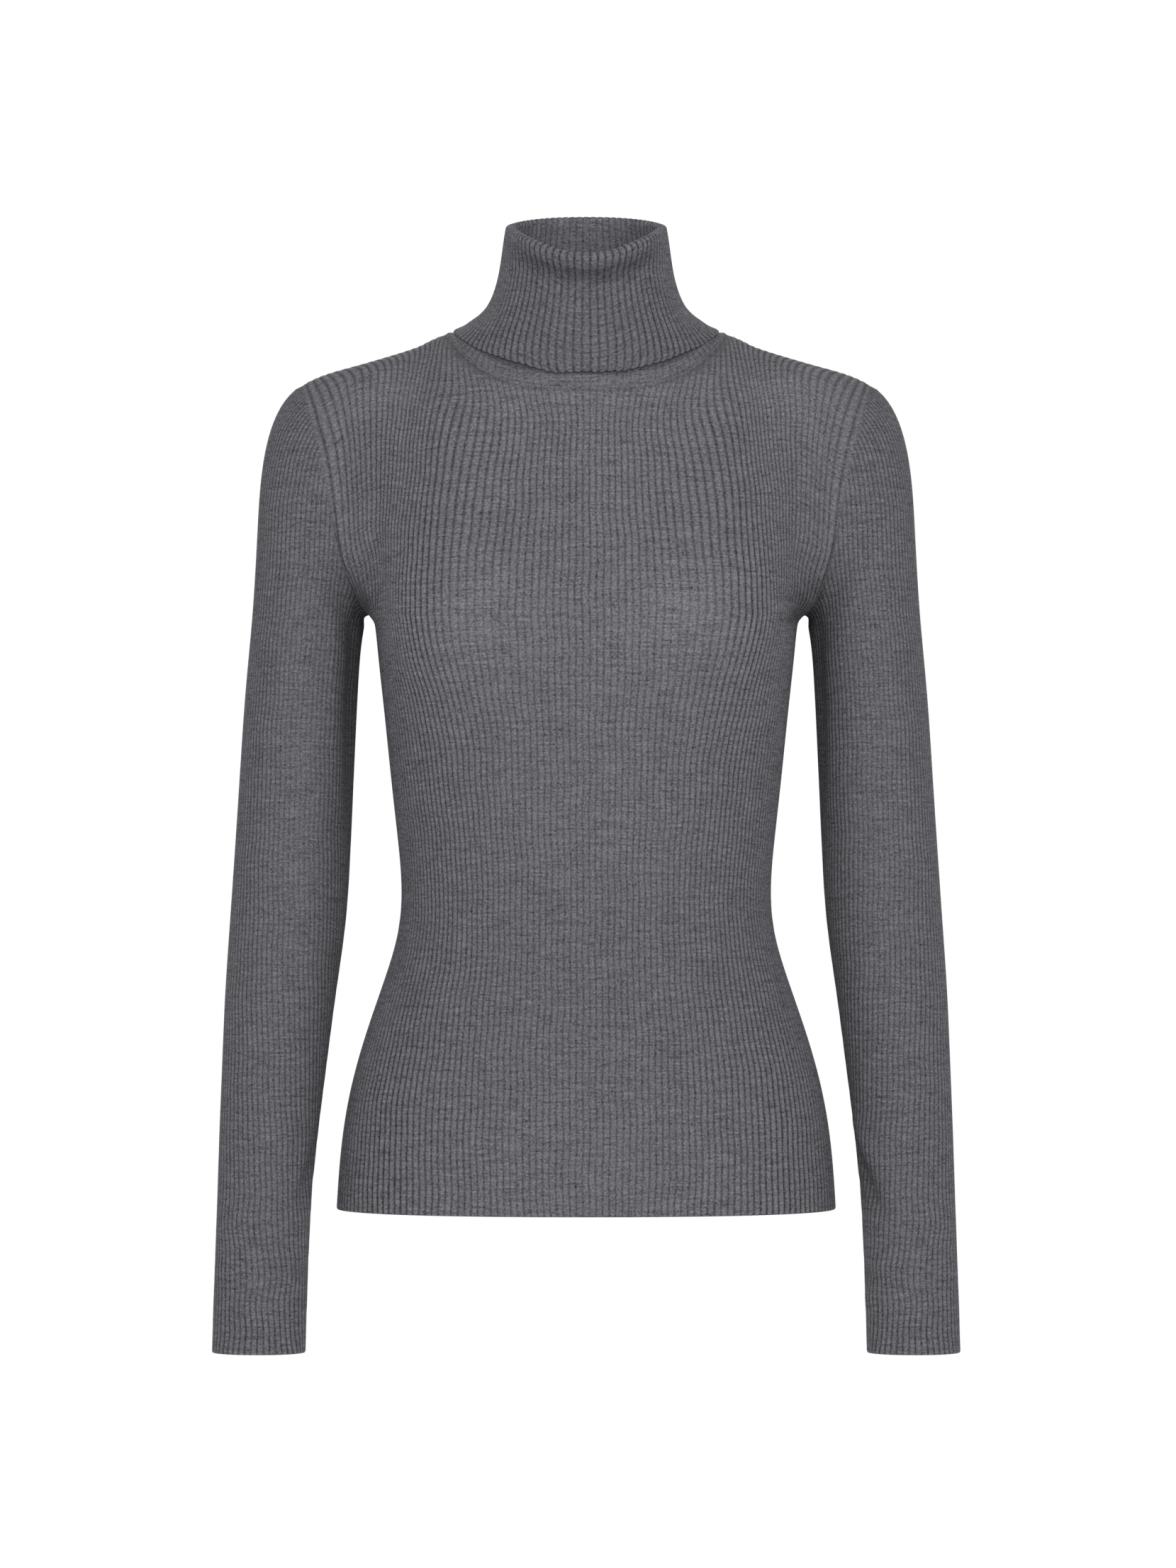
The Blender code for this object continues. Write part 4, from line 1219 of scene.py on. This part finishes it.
SHARE = {"min": 0.0, "max": 1.0, "subtype": "FACTOR"}
DEPTH = {"min": 0.0, "max": 0.002, "precision": 5, "unit": "LENGTH"}
DISTANCE = {"min": 0.1, "unit": "LENGTH"}
PLAIN = {"min": 0.0}


def number(label, description, default, limits):
    return bpy.props.FloatProperty(name=label, description=description, default=default, **limits)


def colour(label, description, default):
    return bpy.props.FloatVectorProperty(name=label, description=description, default=default,
                                         subtype="COLOR", size=3, min=0.0, max=1.0)


class SweaterSettings(bpy.types.PropertyGroup):
    """Sizes and colours of the knitted pieces."""
    rib_depth: number(
        "Rib Depth", "Height of a rib's crest over the valleys beside it", 0.0009, DEPTH)
    collar_rib_depth: number(
        "Collar Rib Depth", "Height of a rib on the collar", 0.0009, DEPTH)
    valley_sharpness: number(
        "Valley Sharpness", "How narrow the valleys are beside the crests", 3.0, PLAIN)
    body_colour: colour(
        "Body Wool", "Colour of the front and the back", (0.0865, 0.0845, 0.094))
    # The sleeves and the collar are the body's wool; their colours are darker copies of it, painted
    # shade
    sleeve_colour: colour(
        "Sleeve Wool", "Colour of the sleeves", (0.079, 0.077, 0.0855))
    collar_colour: colour(
        "Collar Wool", "Colour of the collar", (0.0755, 0.0735, 0.0822))
    heather: number(
        "Heather", "How much lighter and darker fibres vary the wool", 0.4, SHARE)
    # painted shade in the valleys between the ribs
    valley_shade: number(
        "Valley Shade", "How much darker the wool is deep between the ribs", 0.5, SHARE)
    # painted shade where the knit is seen along its surface
    rim_shade: number(
        "Rim Shade", "How much darker the knit looks seen along its surface", 0.45, SHARE)
    sheen: number(
        "Sheen", "Soft light caught by loose fibres", 0.02, SHARE)


class StageSettings(bpy.types.PropertyGroup):
    """The camera, the floor and the light."""
    camera_distance: number(
        "Camera Distance", "From the camera to the sweater's middle", 5.0, DISTANCE)
    view_height: number(
        "View Height", "What the camera's frame takes in at the sweater", 1.0507, DISTANCE)
    floor_colour: colour(
        "Floor", "Colour of the plain floor", (1.0, 1.0, 1.0))
    key_power: number(
        "Key Light", "Power of the large soft light in front, in watts", 110.0, PLAIN)
    room_light: number(
        "Room Light", "Strength of the even light all round", 1.0, PLAIN)


# ---- Pieces ----

CLOTH_ENDS = {"sewn": 0.7, "turned": 0.35}  # share of the thickness left at each kind of edge
EDGE_REACH = 1.4  # how far from an edge the cloth has its whole thickness
RIB_FADE = (0.3, 1.6)  # from a seam, over which the ribs rise to their depth
CREASE_FADE = 5.0  # over which the creases do
SWAY_FADE = 20.0  # over which the ribs begin to wander
SEAM_DIP = (0.12, 2.0)  # how far the cloth sinks at a seam, and over which width
COURSE = 1.25  # height of a row of stitches
CREASE_SHADE = 0.07  # painted shade and light: how much darker the cloth is for each millimetre of a crease's depth, and lighter for each of a ridge's height

# Of the front and the back.
SIDE_STRENGTH = ((0, 60, 110, 135), (0.7, 0.8, 1.1, 1.5))  # of the ribs, by x
YOKE_STRENGTH = ((0, 60, 110, 150), (0.8, 0.95, 1.05, 0.95))  # and above the underarm
YOKE_FROM = (-10.0, 40.0)  # over the underarm, where the second takes over
SHOULDER_LOSS = 0.4  # how much depth the ribs lose, stretched over the shoulders
SHOULDER_HEIGHTS = (-70.0, -35.0)
NECK_RIDGE = (0.7, 1.3)  # height and width of the neck seam's stitched ridge
RIDGE_LIGHT = (0.3, 0.8)  # painted highlight: how much lighter the ridge is, and over which width
SEAM_SHADE = (0.25, 0.7, 1.9)  # painted shadow: how much darker the line beside the ridge is, its width and its place
NECK_CLEAR = 6.0  # from the neck seam, where the other seams begin
SEAM_LIFT = 1.4  # how far the cloth beside the neck seam stands up on the shoulders
LIFT_FADE = (8.0, 24.0)  # from that seam, over which it comes down again
LIFT_WIDTH = 16.0  # and from the shoulder line
SELVEDGE = 5.0  # width of the plain strip beside the neck seam on the shoulders
SELVEDGE_SHARE = ((10, 17, 30), (0.3, 1.0, 1.0))  # of that width, by rib
SELVEDGE_SHADE = 0.22  # painted shade: how much darker it is
SELVEDGE_ENDS = (2.0, 2.5)  # over which its shade ends and the ribs begin

# Of the sleeves.
RIB_WIDTH = 3.5  # to lay the creases in millimetres
SLEEVE_STRENGTH = 0.85
CUFF_STRENGTH = 0.25  # how much deeper the ribs are at the cuff
CUFF_ENDS = (20.0, 45.0)  # and how high over it that ends
CUFF_SWAY = 1.6  # how much more the ribs wander towards it
SWAY_ENDS = (60.0, 130.0)

# Of the collar.
COLLAR_STRENGTH = 0.9
COLLAR_RIB_FADE = (0.2, 2.0)
INNER_LIFT_FADE = (1.0, 4.0)  # from the neck seam, where the inner layer follows its lift
FOLD_STRENGTH = 0.05  # how much deeper the ribs are over the fold
FAN_STRENGTH = 0.6  # and where they spread out at the sides
INSIDE_LOSS = 0.45  # how much depth they lose inside
INSIDE_FROM = 2  # rows below the fold, on the inner layer
BACK_LOSS = 0.5  # and over the fold at the back
LAID_LOSS = 0.45  # and, with the cloth, where the free edge lies on the shoulders
LAID_REACH = 16.0
HIDDEN_STRENGTH = 0.3  # of the ribs on the inner side of both layers
UNDER_EDGE_SHADE = 0.4  # painted shadow: how much darker the collar is under its free edge
STRIP_LIGHT = 0.08  # how much lighter its strip beside the neck seam is
STRIP_ENDS = (7.0, 9.5)
INSIDE_LIGHT = 0.5  # painted light: how much lighter its inside is, against the shade that falls there
ROLL_FRONT = (0.5, 4)  # how far round the front the roll is shaded, and how suddenly it ends
ROLL_SHADE = (0.4, 2.5, 4)  # painted shade under the roll: how much darker it is, over how many rows and at which
ROLL_LIGHT = (0.15, 4, -3)  # and a painted highlight: how much lighter above


def half_thickness(distance, end):
    """Half the cloth's thickness, which closes up to a least share at an edge."""
    least = CLOTH_ENDS[end]
    return CLOTH / 2 * (least + (1 - least) * np.sqrt(np.clip(distance / EDGE_REACH, 0.0, 1.0)))


def fields_for(numbers, courses, amount, other_amount, painted_light, other_painted_light):
    """What the ribs and the wool read from a shell's points."""
    return {
        # painted light and shade, a factor on the wool's colour, for each side
        "painted_light": (painted_light, other_painted_light),
        "rib_number": (numbers, numbers),
        "course": (courses, courses),
        "rib_amount": (amount, other_amount),
    }


def over_shoulder(points):
    """How near the shoulder line each point of a grid lies."""
    return bell(points[..., 1], LIFT_WIDTH, SHOULDER[0][2])


def courses_of(points):
    """The number of each point's course, counted along its column from the first row."""
    steps = np.linalg.norm(np.diff(points, axis=0), axis=2)
    return np.concatenate((np.zeros((1, steps.shape[1])), np.cumsum(steps, axis=0))) / COURSE


def seam_dip(seam):
    """How far the cloth sinks, by its distance from a seam."""
    depth, width = SEAM_DIP
    return depth * bell(seam, width)


def build_panel(side, settings, material):
    points, numbers = panel_grid(side)
    away = shell_normals(points, same_points(numbers, False)) * -FACING[side]
    seam = edge_distance(points, [points[-1], points[:, 0], points[:, -1]])
    neck = edge_distance(points, [points[-1, np.abs(numbers[-1]) <= NECK_RIBS]])
    hem = points[..., 2] - HEM_HEIGHT
    across, up = points[..., 0], points[..., 2]
    creases = crease_field(across, up, CREASES[side])
    height, width = NECK_RIDGE
    moved = creases * smooth_step(seam, 0.0, CREASE_FADE) + height * bell(neck, width)
    moved += SEAM_LIFT * over_shoulder(points) * (1 - smooth_step(neck, *LIFT_FADE))
    moved -= seam_dip(seam) * smooth_step(neck, 0.0, NECK_CLEAR)
    points = points + away * moved[..., None]
    points = underarm_drawn_up(swayed(points, across, up, smooth_step(seam, 0.0, SWAY_FADE)))
    thick = np.minimum(half_thickness(seam, "sewn"), half_thickness(hem, "turned"))

    past_selvedge = neck - SELVEDGE * np.interp(np.abs(numbers), *SELVEDGE_SHARE)
    shade_end, rib_start = SELVEDGE_ENDS
    above = smooth_step(up, *(UNDERARM_HEIGHT + np.array(YOKE_FROM)))
    strength = (np.interp(np.abs(across), *SIDE_STRENGTH) * (1 - above)
                + np.interp(np.abs(across), *YOKE_STRENGTH) * above)
    amount = smooth_step(seam, *RIB_FADE) * smooth_step(past_selvedge, 0.0, rib_start) * strength
    amount *= 1 - SHOULDER_LOSS * smooth_step(up, *SHOULDER_HEIGHTS)
    amount *= patch_field(across, up, SMOOTHED[side])
    # Painted light and shade: the table's patches, shade in creases and light on their ridges, shade
    # on the strip by the neck seam, a highlight on the seam's ridge and a shadow beside it
    painted_light = patch_field(across, up, PAINTED_LIGHT_PATCHES[side]) * (1 + CREASE_SHADE * creases)
    painted_light *= 1 - SELVEDGE_SHADE * (1 - smooth_step(past_selvedge, 0.0, shade_end))
    light, width = RIDGE_LIGHT
    painted_light *= 1 + light * bell(neck, width)
    shade, width, place = SEAM_SHADE
    painted_light *= 1 - shade * bell(neck, width, place)
    piece = make_shell(side, points, numbers, False, -FACING[side], INSIDE_STEP, thick,
                       fields_for(numbers, courses_of(points), amount, 0 * amount, painted_light, painted_light))
    return raise_ribs(piece, settings.rib_depth, settings.valley_sharpness, material)


def build_sleeve(name, settings, material):
    points, numbers = sleeve_grid()
    away = -shell_normals(points, same_points(numbers, True))
    seam = edge_distance(points, [points[0], points[:, 0]])
    cuff = points[..., 2] - CUFF_HEIGHT
    across, up = numbers * RIB_WIDTH, points[..., 2]
    creases = crease_field(across, up, CREASES[name])
    moved = creases * smooth_step(seam, 0.0, CREASE_FADE) - seam_dip(seam)
    points = points + away * moved[..., None]
    sway = smooth_step(seam, 0.0, SWAY_FADE) * (1 + CUFF_SWAY * (1 - smooth_step(cuff, *SWAY_ENDS)))
    points = underarm_drawn_up(swayed(points, across, up, sway))
    thick = np.minimum(half_thickness(seam, "sewn"), half_thickness(cuff, "turned"))

    up = points[..., 2]
    at_cuff = 1 - smooth_step(cuff, *CUFF_ENDS)
    amount = smooth_step(seam, *RIB_FADE) * (SLEEVE_STRENGTH + CUFF_STRENGTH * at_cuff)
    amount *= patch_field(across, up, SMOOTHED[name])
    # Painted light and shade from the table's patches, and shade in the creases and light on their
    # ridges
    painted_light = patch_field(across, up, PAINTED_LIGHT_PATCHES[name]) * (1 + CREASE_SHADE * creases)
    facing = -1.0
    if name == "sleeve_right":
        points = points * (-1.0, 1.0, 1.0)
        facing = 1.0
    courses = courses_of(points[::-1])[::-1]
    piece = make_shell(name, points, numbers, True, facing, INSIDE_STEP, thick,
                       fields_for(numbers, courses, amount, 0 * amount, painted_light, painted_light))
    return raise_ribs(piece, settings.rib_depth, settings.valley_sharpness, material)


def build_collar(name, settings, material):
    points, numbers = collar_grid()
    away = unit(grid_normals(points))
    seam = edge_distance(points, [points[0]])
    free = edge_distance(points, [points[-1]])
    lift = SEAM_LIFT * over_shoulder(points) * (1 - smooth_step(seam, *INNER_LIFT_FADE))
    lift[INNER_ROWS:] = 0.0
    points = points + away * lift[..., None]
    thick = np.minimum(half_thickness(seam, "sewn"), half_thickness(free, "turned"))

    row = np.arange(len(points))[:, None]
    below_roll = row - INNER_ROWS - FOLD_ROWS
    at_fold = bell(row, FOLD_ROWS, INNER_ROWS + FOLD_ROWS / 2)
    inside = 1 - smooth_step(row, INNER_ROWS - INSIDE_FROM, INNER_ROWS + FOLD_ROWS / 2)
    beside = np.abs(np.sin(math.tau * numbers / COLLAR_RIBS)) ** 2
    behind = np.cos(math.pi * numbers / COLLAR_RIBS) ** 4
    low = 0.5 + 0.5 * smooth_step(row, INNER_ROWS + FOLD_ROWS, len(points) - EDGE_LAID)
    amount = smooth_step(seam, *COLLAR_RIB_FADE) * (
        COLLAR_STRENGTH + FOLD_STRENGTH * at_fold + FAN_STRENGTH * beside * low)
    amount = amount * (1 - INSIDE_LOSS * inside) * (1 - BACK_LOSS * behind * at_fold)
    loss = 1 - LAID_LOSS * (beside ** 2 * (1 - smooth_step(free, 0.0, LAID_REACH)))
    amount, thick = amount * loss, thick * loss
    hidden = HIDDEN_STRENGTH * amount

    # The side of both layers that faces the other: its strip beside the neck seam made lighter, and
    # painted shadow beyond it, under the free edge
    plain = 1 + STRIP_LIGHT - (STRIP_LIGHT + UNDER_EDGE_SHADE) * smooth_step(seam, *STRIP_ENDS)
    # The other side: painted light inside the collar, and at the front painted shade under the roll
    # with a painted highlight above it
    reach, power = ROLL_FRONT
    at_front = np.exp(-(np.sin(math.pi * (numbers / COLLAR_RIBS - 0.5)) / reach) ** power)
    shade, width, place = ROLL_SHADE
    painted_light = 1 + INSIDE_LIGHT * inside - shade * at_front * bell(below_roll, width, place)
    light, width, place = ROLL_LIGHT
    painted_light = painted_light * (1 + light * at_front * bell(below_roll, width, place))
    piece = make_shell(name, points, numbers, True, 1.0, 1, thick,
                       fields_for(numbers, courses_of(points), hidden, amount, plain, painted_light))
    return raise_ribs(piece, settings.collar_rib_depth, settings.valley_sharpness, material)


def build_pieces(nodes, build, slot, colour, settings):
    """Build the pieces knitted in one wool, each for its frame node."""
    material = wool(slot, colour, settings)
    for node in nodes:
        piece = build(node, settings, material)
        piece.name = node + "_cloth"
        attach(piece, "root")
        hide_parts(node)


class SWEATER_OT_panels(bpy.types.Operator):
    """Build the front and the back"""
    bl_idname = "sweater.panels"
    bl_label = "Front and Back"

    def execute(self, context):
        settings = context.scene.sweater
        build_pieces((FRONT, BACK), build_panel, "body_wool", settings.body_colour, settings)
        return {"FINISHED"}


class SWEATER_OT_sleeves(bpy.types.Operator):
    """Build the two sleeves"""
    bl_idname = "sweater.sleeves"
    bl_label = "Sleeves"

    def execute(self, context):
        settings = context.scene.sweater
        build_pieces(("sleeve_left", "sleeve_right"), build_sleeve, "sleeve_wool",
                     settings.sleeve_colour, settings)
        return {"FINISHED"}


class SWEATER_OT_collar(bpy.types.Operator):
    """Build the collar that rolls over"""
    bl_idname = "sweater.collar"
    bl_label = "Collar"

    def execute(self, context):
        settings = context.scene.sweater
        build_pieces(("collar",), build_collar, "collar_wool", settings.collar_colour, settings)
        return {"FINISHED"}


# ---- Stage ----

FLOOR_DROP = 0.65  # from the cuffs down to the floor
FLOOR_REACH = 60.0  # so far that its edge is never seen
FLOOR_ROUGHNESS = 0.9
VIEW_CENTRE = (0.0012, -0.3021)  # x and z of the middle of the camera's frame
SENSOR = 36.0  # width of the camera's, in millimetres
LIGHTS = (
    # name, place, share of the key light's power
    ("key", (0.3, -3.6, 1.7), 1),
    ("rear", (-0.3, 3.6, 1.7), 0.7),
)
LIGHT_SIZE = 2.0
WHITE = (1.0, 1.0, 1.0, 1.0)


class SWEATER_OT_stage(bpy.types.Operator):
    """Set up a plain floor, soft light and the camera"""
    bl_idname = "sweater.stage"
    bl_label = "Stage"

    def execute(self, context):
        settings = context.scene.sweater_stage
        floor_z = CUFF_HEIGHT * MM - FLOOR_DROP
        mesh = bpy.data.meshes.new("floor")
        reach = FLOOR_REACH
        mesh.from_pydata([(-reach, -reach, floor_z), (reach, -reach, floor_z),
                          (reach, reach, floor_z), (-reach, reach, floor_z)], [], [(0, 1, 2, 3)])
        paint = bpy.data.materials.new("floor")
        paint.use_nodes = True
        shader = paint.node_tree.nodes["Principled BSDF"]
        shader.inputs["Base Color"].default_value = (*settings.floor_colour, 1.0)
        shader.inputs["Roughness"].default_value = FLOOR_ROUGHNESS
        mesh.materials.append(paint)
        floor = bpy.data.objects.new("floor", mesh)
        context.scene.collection.objects.link(floor)

        world = bpy.data.worlds.new("room")
        world.use_nodes = True
        background = world.node_tree.nodes["Background"]
        background.inputs["Color"].default_value = WHITE
        background.inputs["Strength"].default_value = settings.room_light
        context.scene.world = world
        for name, place, share in LIGHTS:
            light = bpy.data.lights.new(name, "AREA")
            light.size = LIGHT_SIZE
            light.energy = settings.key_power * share
            lamp = bpy.data.objects.new(name, light)
            lamp.location = place
            aim = Vector((0.0, 0.0, VIEW_CENTRE[1])) - lamp.location
            lamp.rotation_euler = aim.to_track_quat("-Z", "Y").to_euler()
            context.scene.collection.objects.link(lamp)

        lens = bpy.data.cameras.new("camera")
        lens.sensor_width = SENSOR
        lens.lens = SENSOR * settings.camera_distance / settings.view_height
        camera = bpy.data.objects.new("camera", lens)
        camera.location = (VIEW_CENTRE[0], -settings.camera_distance, VIEW_CENTRE[1])
        camera.rotation_euler = (math.pi / 2, 0.0, 0.0)
        context.scene.collection.objects.link(camera)
        context.scene.camera = camera
        context.scene.view_settings.view_transform = "Standard"
        return {"FINISHED"}


class SWEATER_PT_build(bpy.types.Panel):
    """The sweater's pieces and settings"""
    bl_label = "Turtleneck Sweater"
    bl_idname = "SWEATER_PT_build"
    bl_space_type = "VIEW_3D"
    bl_region_type = "UI"
    bl_category = "Sweater"

    def draw(self, context):
        for settings in (context.scene.sweater, context.scene.sweater_stage):
            for name in settings.__annotations__:
                self.layout.prop(settings, name)
        for operator in STEPS:
            self.layout.operator(operator.bl_idname)


STEPS = (SWEATER_OT_panels, SWEATER_OT_sleeves, SWEATER_OT_collar, SWEATER_OT_stage)
CLASSES = (SweaterSettings, StageSettings, *STEPS, SWEATER_PT_build)


def register():
    for item in CLASSES:
        bpy.utils.register_class(item)
    bpy.types.Scene.sweater = bpy.props.PointerProperty(type=SweaterSettings)
    bpy.types.Scene.sweater_stage = bpy.props.PointerProperty(type=StageSettings)


def unregister():
    del bpy.types.Scene.sweater_stage
    del bpy.types.Scene.sweater
    for item in reversed(CLASSES):
        bpy.utils.unregister_class(item)


def main():
    register()
    bpy.ops.sweater.panels()
    bpy.ops.sweater.sleeves()
    bpy.ops.sweater.collar()
    bpy.ops.sweater.stage()


if __name__ == "__main__":
    main()
